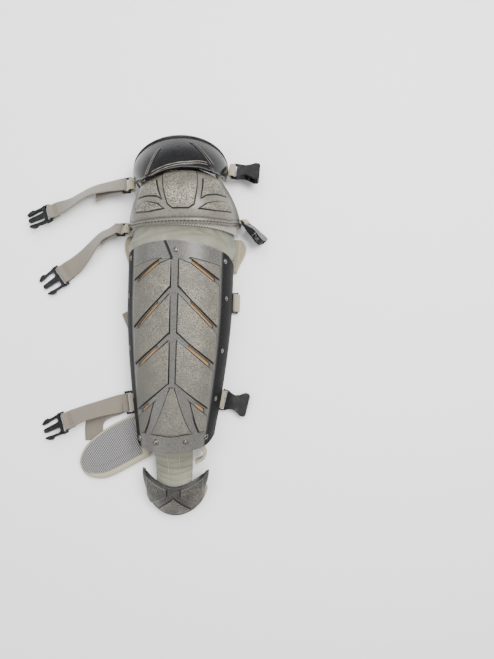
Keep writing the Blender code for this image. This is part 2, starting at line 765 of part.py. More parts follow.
def toe_tab():
    """The tongue from the shin pad's lower end to below the toe plate's top edge."""
    top = shin_pad_bottom(0.0) - 4 * GAP
    top_height = shin_surface(0.0, top).z - PAD_DEPTH - 4 * GAP
    bottom = TOE_TOP - TOE_TOP_DIP - 0.006
    bottom_height = toe_surface(0.0, 0.89).z - 1.3 * TOE_WALL
    rows = []
    for share in (0.0, 0.2, 0.4, 0.6, 0.8, 1.0):
        row = []
        for index in range(7):
            side = -1 + index / 3
            narrow = 1 - 0.12 * share
            sag = between(0.012, 0.007, share) * side * side
            sink = 0.011 * math.sin(math.pi * share)
            x = TOE_SHIFT * share + TOE_TAB_HALF * narrow * side
            start = shin_pad_bottom(x / shin_half(top)) - 4 * GAP
            y = between(start, bottom, share) + 0.010 * share * side * side
            row.append(Vector((x, y, between(top_height, bottom_height, share) - sag - sink)))
        rows.append(row)
    return padded_sheet("toe_tab", rows, TOE_TAB_THICKNESS, "leatherette")


def flat_piece(name, outline, low, thickness, material):
    """A flat closed outline, extruded from its low level."""
    data = bpy.data.curves.new(name, "CURVE")
    data.dimensions = "2D"
    data.fill_mode = "BOTH"
    data.extrude = thickness / 2
    spline = data.splines.new("POLY")
    spline.points.add(len(outline) - 1)
    for point, (x, y) in zip(spline.points, outline):
        point.co = (x, y, 0, 1)
    spline.use_cyclic_u = True
    data.materials.append(MATERIALS[material].copy())
    obj = bpy.data.objects.new(name, data)
    obj.location.z = low + thickness / 2
    PARTS.objects.link(obj)
    return obj


def pad_wall(y):
    """Half the width between the outer faces of the shin pad's legs."""
    return shin_half(y) - PAD_DEPTH


def ankle_wing():
    top = SHIN_TOP - WING_PLACE * SHIN_LENGTH
    root = -pad_wall(top)
    route = [(root - WING_REACH * out, top - WING_LENGTH * down) for out, down in WING_OUTLINE]
    outline = through(route, 2)
    low = shin_pad_bottom(-1.0)
    corner = -pad_wall(low) - 2 * GAP
    outline += [(outline[-1][0], low - 0.018), (corner, low - 0.011)]
    for y in [between(low, top, share) for share in (0.0, 0.33, 0.66, 1.0)]:
        outline.append((-pad_wall(y) - 2 * GAP, y))
    low_level = WEBBING_THICKNESS + 2 * GAP
    return flat_piece("ankle_wing", outline, low_level, WING_THICKNESS, "mesh_fabric")


def side_pad(name, direction, reach):
    start = shin_pad_top(1.0) - 0.010
    outer, inner = [], []
    for along, out in SIDE_PAD_OUTLINE:
        y = start + SIDE_PAD_LENGTH * along
        wall = pad_wall(y) + 2 * GAP
        outer.append((direction * (wall + 0.0045 + reach * out), y))
        inner.append((direction * wall, y))
    outline = through(outer, 2) + list(reversed(inner))
    return flat_piece(name, outline, GAP, SIDE_PAD_THICKNESS, "cream_fabric")


def ankle_roll():
    """A rolled pad edge at the right of the ankle, standing on edge."""
    y = shin_bottom_edge(0.5) - 0.001
    x = 0.50 * SHIN_BOTTOM_HALF
    route = [(x + ROLL_REACH * out, y + ROLL_REACH * along) for out, along in ROLL_ROUTE]
    stations = through(route, 2)
    middle = TOE_TIP_HEIGHT + ROLL_HEIGHT / 2 - 0.0045
    ribbon = [(Vector((px, py, middle)), Vector((0, 0, 1))) for px, py in stations]
    return webbing("ankle_roll", ribbon, ROLL_HEIGHT, ROLL_THICKNESS, "cream_fabric")


# Webbing and buckles

def webbing(name, stations, width, thickness, material, closed=False):
    """Flat webbing through stations of a middle point and a direction across it."""
    count = len(stations)
    points = []
    for index, (middle, across) in enumerate(stations):
        before = stations[(index - 1) % count if closed else max(index - 1, 0)][0]
        after = stations[(index + 1) % count if closed else min(index + 1, count - 1)][0]
        across = across.normalized()
        face = (after - before).normalized().cross(across).normalized()
        edge, lift = across * width / 2, face * thickness / 2
        points += [middle - edge - lift, middle + edge - lift,
                   middle + edge + lift, middle - edge + lift]
    faces = []
    for index in range(count if closed else count - 1):
        near, far = 4 * index, 4 * ((index + 1) % count)
        for side in range(4):
            turn = (side + 1) % 4
            faces.append([near + side, near + turn, far + turn, far + side])
    if not closed:
        last = 4 * (count - 1)
        faces += [[0, 1, 2, 3], [last + 3, last + 2, last + 1, last]]
    mesh = mesh_from(name, points, faces)
    shade(mesh, 50)
    return add_object(name, mesh, material)


def frame_at(x, y, z, heading, roll, pitch=0.0):
    """A frame with X along a heading, rolled about X and then pitched about its own Y."""
    return (Matrix.Translation((x, y, z)) @ Matrix.Rotation(heading, 4, "Z")
            @ Matrix.Rotation(roll, 4, "X") @ Matrix.Rotation(pitch, 4, "Y"))


def ring_stations(frame, near, far):
    """A loop round a bar at near and back round a turn at far, in the frame's XZ plane."""
    across = frame.to_3x3() @ Vector((0, 1, 0))
    turn = 1 if near > far else -1
    stations = []
    for middle, start in ((near, -90), (far, 90)):
        for step in range(5):
            angle = math.radians(start + 45 * step)
            point = Vector((middle + turn * BAR_TURN * math.cos(angle), 0,
                            BAR_TURN * math.sin(angle)))
            stations.append((frame @ point, across))
    return stations


def webbing_loop(name, frame, near, far):
    stations = ring_stations(frame, near, far)
    return webbing(name, stations, WEBBING_WIDTH - 0.001, WEBBING_THICKNESS, "cream_fabric", True)


def outline_mesh(name, outlines, thickness):
    """A flat plate with holes: the first outline is the rim and the others are holes."""
    data = bpy.data.curves.new(name, "CURVE")
    data.dimensions = "2D"
    data.fill_mode = "BOTH"
    data.extrude = thickness / 2
    for outline in outlines:
        spline = data.splines.new("POLY")
        spline.points.add(len(outline) - 1)
        for point, (x, y) in zip(spline.points, outline):
            point.co = (x, y, 0, 1)
        spline.use_cyclic_u = True
    guide = bpy.data.objects.new(name, data)
    PARTS.objects.link(guide)
    mesh = bpy.data.meshes.new_from_object(
        guide.evaluated_get(bpy.context.evaluated_depsgraph_get()))
    bpy.data.objects.remove(guide)
    shape = bmesh.new()
    shape.from_mesh(mesh)
    bmesh.ops.remove_doubles(shape, verts=shape.verts, dist=0.00001)
    bmesh.ops.recalc_face_normals(shape, faces=shape.faces)
    shape.to_mesh(mesh)
    shape.free()
    return mesh


def box_outline(low_x, high_x, half):
    return [(low_x, -half), (high_x, -half), (high_x, half), (low_x, half)]


def mirrored(outline):
    return list(outline) + [(x, -y) for x, y in reversed(outline)]


SLOT_HALF = WEBBING_WIDTH / 2 + 0.0006


def slide(name, frame):
    half = SLOT_HALF + HARDWARE_SIDE
    rim = box_outline(-SLIDE_DEPTH / 2, SLIDE_DEPTH / 2, half)
    hole = box_outline(BAR - SLIDE_DEPTH / 2, SLIDE_DEPTH / 2 - BAR, SLOT_HALF)
    mesh = outline_mesh(name, [rim, hole], BAR)
    return add_object(name, mesh, "black_plastic", frame)


def male_buckle(name, frame):
    half = SLOT_HALF + HARDWARE_SIDE
    rim = mirrored([(MALE_LENGTH * along, half * out) for along, out in MALE_OUTLINE])
    hole = box_outline(BAR / 2, BAR / 2 + 0.0052, SLOT_HALF)
    mesh = outline_mesh(name, [rim, hole], MALE_THICKNESS)
    for vertex in mesh.vertices:
        if vertex.co.x <= BAR / 2 + 0.0001:
            vertex.co.z *= BAR / MALE_THICKNESS
    return add_object(name, mesh, "black_plastic", frame)


def box_cutter(name, low, high, owner):
    shape = bmesh.new()
    bmesh.ops.create_cube(shape, size=1.0)
    size = Vector(high) - Vector(low)
    bmesh.ops.scale(shape, vec=size, verts=shape.verts)
    bmesh.ops.translate(shape, vec=(Vector(high) + Vector(low)) / 2, verts=shape.verts)
    mesh = bpy.data.meshes.new(name)
    shape.to_mesh(mesh)
    shape.free()
    cutter = bpy.data.objects.new(name, mesh)
    cutter.matrix_world = owner.matrix_world.copy()
    cutter.hide_render = True
    cutter.display_type = "WIRE"
    CUTTERS.objects.link(cutter)
    cut = owner.modifiers.new(name, "BOOLEAN")
    cut.operation = "DIFFERENCE"
    cut.solver = "EXACT"
    cut.object = cutter


def female_buckle(name, frame):
    """The receiving buckle: a waisted body, thin at its bar, with an open socket."""
    outline = [(FEMALE_LENGTH * along, FEMALE_HALF * out) for along, out in FEMALE_OUTLINE]
    hole = box_outline(BAR / 2, BAR / 2 + 0.0052, SLOT_HALF)
    mesh = outline_mesh(name, [mirrored(outline), hole], FEMALE_THICKNESS)
    for vertex in mesh.vertices:
        share = vertex.co.x / FEMALE_LENGTH
        taper = next(thin for limit, thin in FEMALE_TAPER if share <= limit)
        vertex.co.z *= taper
    obj = add_object(name, mesh, "black_plastic", frame)
    end = FEMALE_LENGTH + 0.002
    box_cutter(name + "_socket", (FEMALE_LENGTH - SOCKET_DEPTH, -SOCKET_HALF, -SOCKET_HEIGHT / 2),
               (end, SOCKET_HALF, SOCKET_HEIGHT / 2), obj)
    window = (FEMALE_LENGTH - 0.7 * SOCKET_DEPTH, FEMALE_LENGTH - 0.3 * SOCKET_DEPTH)
    box_cutter(name + "_windows", (window[0], -FEMALE_HALF - 0.002, -SOCKET_HEIGHT / 2 + 0.0004),
               (window[1], FEMALE_HALF + 0.002, SOCKET_HEIGHT / 2 - 0.0004), obj)
    return obj


def run_stations(route):
    """Stations along (x, y, z, roll) points, lying across the plan heading."""
    stations = []
    for index, point in enumerate(route):
        before, after = route[max(index - 1, 0)], route[min(index + 1, len(route) - 1)]
        heading = math.atan2(after[1] - before[1], after[0] - before[0])
        turn = Matrix.Rotation(heading, 3, "Z") @ Matrix.Rotation(point[3], 3, "X")
        stations.append((Vector(point[:3]), turn @ Vector((0, 1, 0))))
    return stations


def route_points(start, reach, route):
    return [(start.x - reach * point.out, start.y + reach * point.along,
             WEBBING_WIDTH * point.height, math.radians(point.roll)) for point in route]


def buckle_wrap(frame):
    """Webbing up to a buckle's bar, round it and back for the sewn end."""
    across = frame.to_3x3() @ Vector((0, 1, 0))
    low = WEBBING_THICKNESS / 2 + GAP
    profile = [(-SEWN_END, low), (-0.006, low), (-0.001, BAR_TURN)]
    profile += [(BAR_TURN * math.cos(math.radians(angle)), BAR_TURN * math.sin(math.radians(angle)))
                for angle in (60, 20, -20, -60)]
    profile += [(-0.001, -BAR_TURN), (-0.006, -low), (-SEWN_END, -low)]
    return [(frame @ Vector((x, 0, z)), across) for x, z in profile]


def fastened_strap(name, anchor, heading, roll, reach, route, tail):
    """A strap with its loop, slide and male buckle, from a seat on the guard's side."""
    reverse = math.pi + heading
    offset = LOOP_LENGTH + BAR_TURN + WEBBING_THICKNESS / 2
    direction = Vector((math.cos(reverse), math.sin(reverse), 0))
    bar = (SLIDE_DEPTH - BAR) / 2
    middle = anchor + direction * (offset + bar)
    frame = frame_at(*middle, reverse, roll)
    webbing_loop(name + "_loop", frame, -bar, -bar - LOOP_LENGTH)
    slide(name + "_slide", frame)
    across = frame.to_3x3() @ Vector((0, 1, 0))
    wrap = [(frame @ Vector((bar + BAR_TURN * math.cos(math.radians(angle)), 0,
                             BAR_TURN * math.sin(math.radians(angle)))), across)
            for angle in (-90, -135, -180, -225, -270)]
    out = frame @ Vector((bar + 0.005, 0, BAR_TURN))
    back = frame @ Vector((bar + 0.005, 0, -BAR_TURN))
    tail_route = [(*back, roll)] + route_points(middle, reach, tail)
    main_route = [(*out, roll)] + route_points(middle, reach, route)
    last, before = Vector(main_route[-1][:3]), Vector(main_route[-2][:3])
    end_heading = math.atan2(last.y - before.y, last.x - before.x)
    buckle = frame_at(*last, end_heading, main_route[-1][3])
    ending = buckle_wrap(buckle)
    start = ending[0][0]
    main_route[-1] = (*start, main_route[-1][3])
    main = run_stations(through(main_route, 3))[:-1]
    stations = run_stations(through(tail_route, 2))[::-1] + wrap + main + ending
    webbing(name, stations, WEBBING_WIDTH, WEBBING_THICKNESS, "webbing")
    male_buckle(name + "_male_buckle", buckle)


def calf_strap():
    """The calf strap leaves under the plate's edge, folds and returns into the hollow."""
    y = 0.5 * CALF_NOTCH_PLACE + 0.002
    root = Vector((0.005 - pad_wall(y), y, CALF_NOTCH_HEIGHT - 0.0015))
    direction = Vector((math.cos(CALF_HEADING), math.sin(CALF_HEADING), 0))
    across = Vector((-direction.y, direction.x, 0))
    turn = (CALF_FOLD_HEIGHT - WEBBING_WIDTH * CALF_ROUTE[0].height) / 2
    fold = root + direction * CALF_FOLD_REACH
    fold.z = CALF_FOLD_HEIGHT
    stations = [(root, across), (fold, across)]
    for angle in (45, 0, -45, -90):
        radians = math.radians(angle)
        point = fold + direction * turn * math.cos(radians)
        point.z = CALF_FOLD_HEIGHT - turn + turn * math.sin(radians)
        stations.append((point, across))
    start = stations[-1][0]
    route = [(*start, 0.0)]
    for point in CALF_ROUTE:
        route.append((start.x + CALF_REACH * point.out, start.y + CALF_REACH * point.along,
                      WEBBING_WIDTH * point.height, 0.0))
    last, before = Vector(route[-1][:3]), Vector(route[-2][:3])
    buckle = frame_at(*last, math.atan2(last.y - before.y, last.x - before.x), 0.0)
    ending = buckle_wrap(buckle)
    route[-1] = (*ending[0][0], 0.0)
    main = [(place, -width) for place, width in run_stations(through(route, 3))[1:-1]]
    ending = [(place, -width) for place, width in ending]
    webbing("strap_calf", stations + main + ending, WEBBING_WIDTH, WEBBING_THICKNESS, "webbing")
    male_buckle("strap_calf_male_buckle", buckle)


def held_buckle(name, bar, heading, roll, loop_length):
    """A female buckle held at its bar by a loop from the guard's side."""
    frame = frame_at(*bar, heading, roll)
    webbing_loop(name + "_catch_loop", frame, 0.0, -loop_length)
    female_buckle(name + "_female_buckle", frame)


def calf_buckle():
    """The calf's female buckle has slipped inward beneath the plate's edge."""
    bar = Vector((pad_wall(CALF_CATCH_PLACE) + 0.0128, CALF_CATCH_PLACE, FEMALE_THICKNESS / 2))
    loop = frame_at(*bar, 0.0, 0.0, math.radians(62))
    webbing_loop("strap_calf_catch_loop", loop, 0.0, -CALF_CATCH_LOOP)
    bar.z += GAP
    female_buckle("strap_calf_female_buckle", frame_at(*bar, math.pi, 0.0))


def seat(surface, side, place, height, clearance):
    """A point just outside a surface's side wall, at a height."""
    point = surface(math.copysign(math.pi / 2, side), place)
    outward = normal_at(surface, math.copysign(math.pi / 2, side), place)
    outward.z = 0
    point += outward.normalized() * clearance
    point.z = height
    return point


def straps():
    degrees = math.radians
    thigh_left = seat(thigh_surface, -1, 0.25, 0.0215, 0.0018)
    fastened_strap("strap_thigh", thigh_left, degrees(8), degrees(36), 0.128,
                   THIGH_ROUTE, THIGH_TAIL)
    knee_left = seat(knee_surface, -1, 0.009, 0.0185, 0.0001)
    fastened_strap("strap_knee", knee_left, degrees(4), degrees(48), 0.100,
                   KNEE_ROUTE, KNEE_TAIL)
    y = SHIN_TOP - 0.79 * SHIN_LENGTH
    ankle_left = Vector((-pad_wall(y) - 3 * GAP, y, 0.0075))
    fastened_strap("strap_ankle", ankle_left, degrees(10), degrees(5), 0.104,
                   ANKLE_ROUTE, ANKLE_TAIL)
    calf_strap()
    held_buckle("strap_thigh", (0.0782, 0.262, 0.0195), degrees(-3), degrees(-34), 0.0025)
    held_buckle("strap_knee", (0.1010, 0.1776, 0.0215), degrees(-44), degrees(-70), 0.0030)
    calf_buckle()
    y = SHIN_TOP - 0.765 * SHIN_LENGTH
    bar = pad_wall(y) + 3 * GAP + BAR_TURN + WEBBING_THICKNESS / 2 + ANKLE_CATCH_LOOP
    held_buckle("strap_ankle", (bar, y, 0.0074), degrees(-12), degrees(-4), ANKLE_CATCH_LOOP)


# Rivets

def rivet_mesh(name, profile):
    """A turned profile, from the axis at the top down its outer side."""
    mesh = bpy.data.meshes.new(name)
    points = [(radius, 0, height) for radius, height in profile]
    edges = [(index, index + 1) for index in range(len(points) - 1)]
    mesh.from_pydata(points, edges, [])
    return mesh


def rivet(name, surface, side, place, scale=1.0, open_middle=False):
    angle = math.asin(side)
    normal = normal_at(surface, angle, place)
    point = surface(angle, place) + normal * 0.0003
    radius, height = RIVET_RADIUS * scale, RIVET_HEIGHT * scale
    if open_middle:
        hole = 0.42 * radius
        profile = [(hole, 0.0), (radius, 0.0), (0.7 * radius, 0.6 * height),
                   (hole, 0.5 * height), (hole, 0.0)]
    else:
        profile = [(0.0, height), (0.62 * radius, 0.8 * height), (radius, 0.15 * height),
                   (radius, 0.0), (0.0, 0.0)]
    obj = add_object(name, rivet_mesh(name, profile), "rivet_metal")
    obj.rotation_euler = normal.to_track_quat("Z", "Y").to_euler()
    obj.location = point
    turned = obj.modifiers.new("turned", "SCREW")
    turned.steps = turned.render_steps = 10
    turned.use_merge_vertices = True
    turned.merge_threshold = 0.00005
    turned.use_normal_calculate = True
    turned.use_normal_flip = True


def rivets():
    top, length = SHIN_TOP, SHIN_LENGTH
    rivet("rivet_top", shin_surface, 0.013, top - 0.047 * length)
    for name, share in (("upper", 0.255), ("middle", 0.510), ("lower", 0.745)):
        for label, side in (("left", -0.895), ("right", 0.895)):
            rivet(f"rivet_{name}_{label}", shin_surface, side, top - share * length, 0.8)
    for label, side in (("left", -1), ("right", 1)):
        skewed = SHIN_SKEW * side * SHIN_BOTTOM_HALF
        rivet(f"rivet_corner_{label}", shin_surface, side * 0.86, top - 0.076 * length, 0.85)
        rivet(f"rivet_bottom_{label}", shin_surface, side * 0.37,
              top - 0.947 * length + skewed * 0.4)
        rivet(f"eyelet_{label}", shin_surface, side * 0.82,
              top - 0.938 * length + skewed, 0.95, True)


def rest_on_origin():
    """Moves every part so that the origin is at the bottom centre of the whole."""
    bpy.context.view_layer.update()
    graph = bpy.context.evaluated_depsgraph_get()
    corners = []
    for obj in PARTS.objects:
        evaluated = obj.evaluated_get(graph)
        mesh = evaluated.to_mesh()
        corners += [obj.matrix_world @ vertex.co for vertex in mesh.vertices]
        evaluated.to_mesh_clear()
    low = [min(corner[axis] for corner in corners) for axis in range(3)]
    high = [max(corner[axis] for corner in corners) for axis in range(3)]
    shift = Matrix.Translation((-(low[0] + high[0]) / 2, -(low[1] + high[1]) / 2, -low[2]))
    for obj in list(PARTS.objects) + list(CUTTERS.objects):
        obj.matrix_world = shift @ obj.matrix_world


def main():
    shin_plate()
    knee_plate()
    thigh_plate()
    toe_plate()
    shin_pad()
    knee_pad()
    thigh_pad()
    toe_pad()
    knee_gusset()
    knee_mesh()
    toe_tab()
    ankle_wing()
    side_pad("side_pad_left", -1, SIDE_PAD_LEFT)
    side_pad("side_pad_right", 1, SIDE_PAD_RIGHT)
    ankle_roll()
    rivets()
    straps()
    rest_on_origin()


main()
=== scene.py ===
"""Looks of the catcher leg guard: its plates, padding, webbing and hardware.

Everything is in metres. The shapes are worked out in the guard's own frame, in which
the shin plate's ridge runs over the Y axis and Z is 0 on the floor. SHIFT moves them
into the row frame.
"""

import json
import math
from collections import namedtuple

import bmesh
import bpy
import numpy as np
from mathutils import Matrix, Vector

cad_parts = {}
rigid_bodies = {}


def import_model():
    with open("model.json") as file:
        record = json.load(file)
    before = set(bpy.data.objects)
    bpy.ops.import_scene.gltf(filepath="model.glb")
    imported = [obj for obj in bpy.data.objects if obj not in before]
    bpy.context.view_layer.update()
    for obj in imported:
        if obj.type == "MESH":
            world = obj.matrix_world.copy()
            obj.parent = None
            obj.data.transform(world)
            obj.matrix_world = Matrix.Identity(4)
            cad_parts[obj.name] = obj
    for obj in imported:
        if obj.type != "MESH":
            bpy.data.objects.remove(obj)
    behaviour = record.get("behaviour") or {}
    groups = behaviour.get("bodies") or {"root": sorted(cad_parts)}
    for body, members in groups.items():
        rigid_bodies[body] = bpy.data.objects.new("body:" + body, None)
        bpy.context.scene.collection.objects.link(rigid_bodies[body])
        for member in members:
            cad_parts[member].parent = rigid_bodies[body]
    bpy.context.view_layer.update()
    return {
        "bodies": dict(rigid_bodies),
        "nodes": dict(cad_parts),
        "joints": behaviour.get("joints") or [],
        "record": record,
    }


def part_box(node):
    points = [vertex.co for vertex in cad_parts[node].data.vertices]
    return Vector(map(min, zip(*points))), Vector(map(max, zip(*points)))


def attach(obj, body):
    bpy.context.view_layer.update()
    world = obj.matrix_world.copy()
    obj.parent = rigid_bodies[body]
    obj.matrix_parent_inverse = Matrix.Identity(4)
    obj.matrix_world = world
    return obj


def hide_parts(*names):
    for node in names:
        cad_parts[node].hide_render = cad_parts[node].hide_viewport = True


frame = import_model()

# Named sizes that the shapes share with the solids
PLATE_WALL = 0.0035
RELIEF = 0.0022
FOOT = 0.014
ARCH_POWER = 2.2
PAD_THICKNESS = 0.010
GAP = 0.0004

SHIN_TOP = 0.133
SHIN_LENGTH = 0.322
SHIN_TOP_HALF = 0.085
SHIN_BOTTOM_HALF = 0.0605
SHIN_TOP_RIDGE = 0.097
SHIN_BOTTOM_RIDGE = 0.077
SHIN_TOP_DROP = 0.0165
SHIN_BOTTOM_RISE = 0.009
SHIN_CORNER = 0.008
SHIN_SKEW = 0.045
SHIN_PAD_INSET = 0.012
CALF_NOTCH_HEIGHT = 0.013
CALF_NOTCH_PLACE = 0.030
CALF_NOTCH_HALF = 0.046

KNEE_SPACE = 0.024
KNEE_SHIFT = 0.005
KNEE_TURN = math.radians(3.0)
KNEE_HALF = 0.090
KNEE_LENGTH = 0.090
KNEE_RIDGE = 0.112
KNEE_EDGE_RIDGE = 0.104
KNEE_BACK_RIDGE = 0.086
KNEE_BACK_FOOT = 0.052
KNEE_SEAM_INSET = 0.010
KNEE_SEAM_PLACE = 0.0034

THIGH_PLACE = 0.093
THIGH_SHIFT = -0.010
THIGH_TURN = math.radians(6.2)
THIGH_HALF = 0.075
THIGH_LOW_HALF = 0.070
THIGH_RISE = 0.0505
THIGH_LOW_DROP = 0.010
THIGH_BACK_HEIGHT = 0.062
THIGH_FRONT_HEIGHT = 0.106
THIGH_TIP_HEIGHT = 0.020
THIGH_WALL = 0.003
THIGH_BULGE = 0.005
THIGH_PAD = 0.008
THIGH_RIM = 0.0016

TOE_PLACE = 0.0385
TOE_SHIFT = 0.003
TOE_HALF = 0.050
TOE_LENGTH = 0.0766
TOE_TOP_DIP = 0.022
TOE_HEIGHT = 0.050
TOE_TIP_HEIGHT = 0.026
TOE_EDGE_HEIGHT = 0.020
TOE_BULGE = 0.006
TOE_WALL = 0.003
TOE_PAD = 0.006
TOE_PAD_RIM = 0.0065
TOE_TAB_HALF = 0.032
TOE_TAB_THICKNESS = 0.003

GUSSET_THICKNESS = 0.0025
GUSSET_DIP = 0.008
GUSSET_SIDE = 0.008
MESH_THICKNESS = 0.0014
MESH_SHOW = 0.0045
SIDE_PAD_THICKNESS = 0.0105
SIDE_PAD_LENGTH = 0.056
SIDE_PAD_LEFT = 0.012
SIDE_PAD_RIGHT = 0.019
WING_REACH = 0.096
WING_LENGTH = 0.112
WING_PLACE = 0.848
WING_THICKNESS = 0.009

ROLL_THICKNESS = 0.005
ROLL_HEIGHT = 0.024
ROLL_REACH = 0.020

WEBBING_WIDTH = 0.030
WEBBING_THICKNESS = 0.0018
BAR = 0.0024
LOOP_LENGTH = 0.0045
SLIDE_DEPTH = 0.013
CALF_CATCH_PLACE = 0.047
CALF_CATCH_LOOP = 0.0078
ANKLE_CATCH_LOOP = 0.0012
THIGH_CATCH = (0.0782, 0.262, 0.0195)
KNEE_CATCH = (0.1010, 0.1776, 0.0215)
FEMALE_THICKNESS = 0.011
SEWN_END = 0.014
RIVET_RADIUS = 0.0047
RIVET_HEIGHT = 0.0024

PAD_DEPTH = PLATE_WALL + 3 * GAP
KNEE_PAD_DEPTH = PAD_DEPTH + 2 * GAP
BAR_TURN = 0.9 * BAR + WEBBING_THICKNESS / 2

# How fine the shown meshes are
CELL = 0.0021
RELIEF_EDGE = 0.0027
CUSHION_LUMP = 0.0004
# How far the relief of the thigh and the toe stands out, and how deep seams are sunk
RIDGE_RISE = 0.0012
BOSS_RISE = 0.0016
LIP_RISE = 0.0009
VALLEY_DROP = 0.0007
TOE_PANEL_RISE = 0.0017
TOE_RIM_RISE = 0.0012
TOE_LIP_RISE = 0.0008
SIDE_PAD_SEAM = 0.0009
WING_GROOVE = 0.0011
WING_LINE = 0.0007
CREASE_DEPTH = 0.0011
FOLD_DEPTH = 0.0009
SEAM_WIDTH = 0.0022
SEAM_RISE = 0.0011


def guard_shift():
    """The guard's own frame in the row frame, found from the shin plate's box."""
    low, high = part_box("shin_plate")
    slope = (SHIN_TOP_RIDGE - SHIN_BOTTOM_RIDGE) / SHIN_LENGTH
    return Vector(((low[0] + high[0]) / 2, high[1] - SHIN_TOP - slope * PLATE_WALL, 0.0))


SHIFT = guard_shift()


# Surfaces, as arrays

def arch(angle, half, ridge, foot):
    side = np.sin(angle)
    lift = np.maximum(0.0, 1 - np.abs(side) ** ARCH_POWER) ** (1 / ARCH_POWER)
    return half * side, foot + (ridge - foot) * lift


def shin_half(y):
    share = (SHIN_TOP - y) / SHIN_LENGTH
    narrowing = np.clip((share - 0.28) / 0.70, 0.0, 1.0) ** 1.6
    return SHIN_TOP_HALF + (SHIN_BOTTOM_HALF - SHIN_TOP_HALF) * narrowing


def shin_surface(angle, y):
    share = (SHIN_TOP - y) / SHIN_LENGTH
    ridge = SHIN_TOP_RIDGE + (SHIN_BOTTOM_RIDGE - SHIN_TOP_RIDGE) * share
    x, z = arch(angle, shin_half(y), ridge, FOOT)
    return np.stack([x, y + 0 * x, z], -1)


def shin_top_edge(side):
    corner = np.maximum(0.0, np.abs(side) - 0.85) / 0.15
    return SHIN_TOP - SHIN_TOP_DROP * side * side - SHIN_CORNER * corner ** 2


def shin_bottom_edge(side):
    corner = np.maximum(0.0, np.abs(side) - 0.85) / 0.15
    rise = SHIN_BOTTOM_RISE * side * side + SHIN_CORNER * corner ** 2
    return SHIN_TOP - SHIN_LENGTH + rise + SHIN_SKEW * side * SHIN_BOTTOM_HALF


def knee_half(y):
    share = np.maximum(0.0, y) / (1.22 * KNEE_LENGTH)
    return KNEE_HALF * np.maximum(0.0, 1 - share ** 2.1) ** 0.625


def placed(points, x, y, turn):
    """Points turned about Z and moved, from a plate's own frame into the guard's."""
    cosine, sine = math.cos(turn), math.sin(turn)
    return np.stack([
        x + cosine * points[..., 0] - sine * points[..., 1],
        y + sine * points[..., 0] + cosine * points[..., 1],
        points[..., 2],
    ], -1)


def knee_surface(angle, y):
    share = y / KNEE_LENGTH
    crest = 0.37
    front = KNEE_RIDGE - (KNEE_RIDGE - KNEE_EDGE_RIDGE) * ((crest - share) / crest) ** 2
    fall = ((share - crest) / (1 - crest)) ** 2
    ridge = np.where(share < crest, front, KNEE_RIDGE + (KNEE_BACK_RIDGE - KNEE_RIDGE) * fall)
    foot = FOOT + (KNEE_BACK_FOOT - FOOT) * np.maximum(0.0, (share - 0.44) / 0.56) ** 1.6
    x, z = arch(angle, knee_half(y), ridge, foot)
    points = np.stack([x, y + 0 * x, z], -1)
    return placed(points, KNEE_SHIFT, SHIN_TOP + KNEE_SPACE, KNEE_TURN)


def crescent(low, high, bulge):
    def surface(angle, share):
        start, end = low(angle), high(angle)
        out = np.stack([np.sin(angle) * 0.8, 0.35 + 0 * angle, np.cos(angle)], -1)
        swell = (bulge * np.sin(np.pi * share))[..., None]
        return start + (end - start) * np.asarray(share)[..., None] + out * swell
    return surface


THIGH_LOBES = ((-1.0, -0.75, -0.5, -0.2, 0.15, 0.5, 0.75, 0.93, 1.0),
               (0.0, 0.010, 0.011, 0.006, 0.003, 0.003, 0.006, 0.005, 0.0))


def thigh_low_edge(angle):
    side, level = np.sin(angle), np.maximum(0.0, np.cos(angle))
    lobe = np.interp(side, *THIGH_LOBES)
    height = THIGH_TIP_HEIGHT + (THIGH_FRONT_HEIGHT - THIGH_TIP_HEIGHT) * level ** 0.66
    drop = THIGH_LOW_DROP * (1 + 0.4 * side ** 2) + lobe
    return np.stack([THIGH_LOW_HALF * side, -drop, height + 0.35 * lobe], -1)


def thigh_high_edge(angle):
    side, level = np.sin(angle), np.maximum(0.0, np.cos(angle))
    height = THIGH_TIP_HEIGHT + (THIGH_BACK_HEIGHT - THIGH_TIP_HEIGHT) * level ** 0.9
    return np.stack([THIGH_HALF * side, 0.0095 + (THIGH_RISE - 0.0095) * level, height], -1)


THIGH_LOCAL = crescent(thigh_low_edge, thigh_high_edge, THIGH_BULGE)


def thigh_surface(angle, share):
    points = THIGH_LOCAL(angle, share)
    y = SHIN_TOP + KNEE_SPACE + THIGH_PLACE
    return placed(points, KNEE_SHIFT + THIGH_SHIFT, y, THIGH_TURN)


TOE_TOP = SHIN_TOP - SHIN_LENGTH - TOE_PLACE


def toe_low_edge(angle):
    side, level = np.sin(angle), np.maximum(0.0, np.cos(angle))
    height = TOE_TIP_HEIGHT + (TOE_EDGE_HEIGHT - TOE_TIP_HEIGHT) * level
    return np.stack([TOE_SHIFT + TOE_HALF * side, TOE_TOP - TOE_LENGTH * level ** 0.8, height], -1)


def toe_high_edge(angle):
    side, level = np.sin(angle), np.maximum(0.0, np.cos(angle))
    dip = TOE_TOP_DIP * (1 - np.abs(side) ** 1.7)
    height = TOE_TIP_HEIGHT + (TOE_HEIGHT - TOE_TIP_HEIGHT) * level ** 0.9
    return np.stack([TOE_SHIFT + TOE_HALF * side * 0.97, TOE_TOP - dip, height], -1)


toe_surface = crescent(toe_low_edge, toe_high_edge, TOE_BULGE)


def normals_of(surface, angle, place):
    """Unit normals of a surface, from small steps along and across it."""
    step, bend, limit = 0.0004, math.radians(0.4), math.radians(89.5)
    angle = np.clip(angle, -limit, limit)
    across = surface(angle + bend, place) - surface(angle - bend, place)
    along = surface(angle, place + step) - surface(angle, place - step)
    normal = np.cross(across, along)
    return normal / np.linalg.norm(normal, axis=-1, keepdims=True)


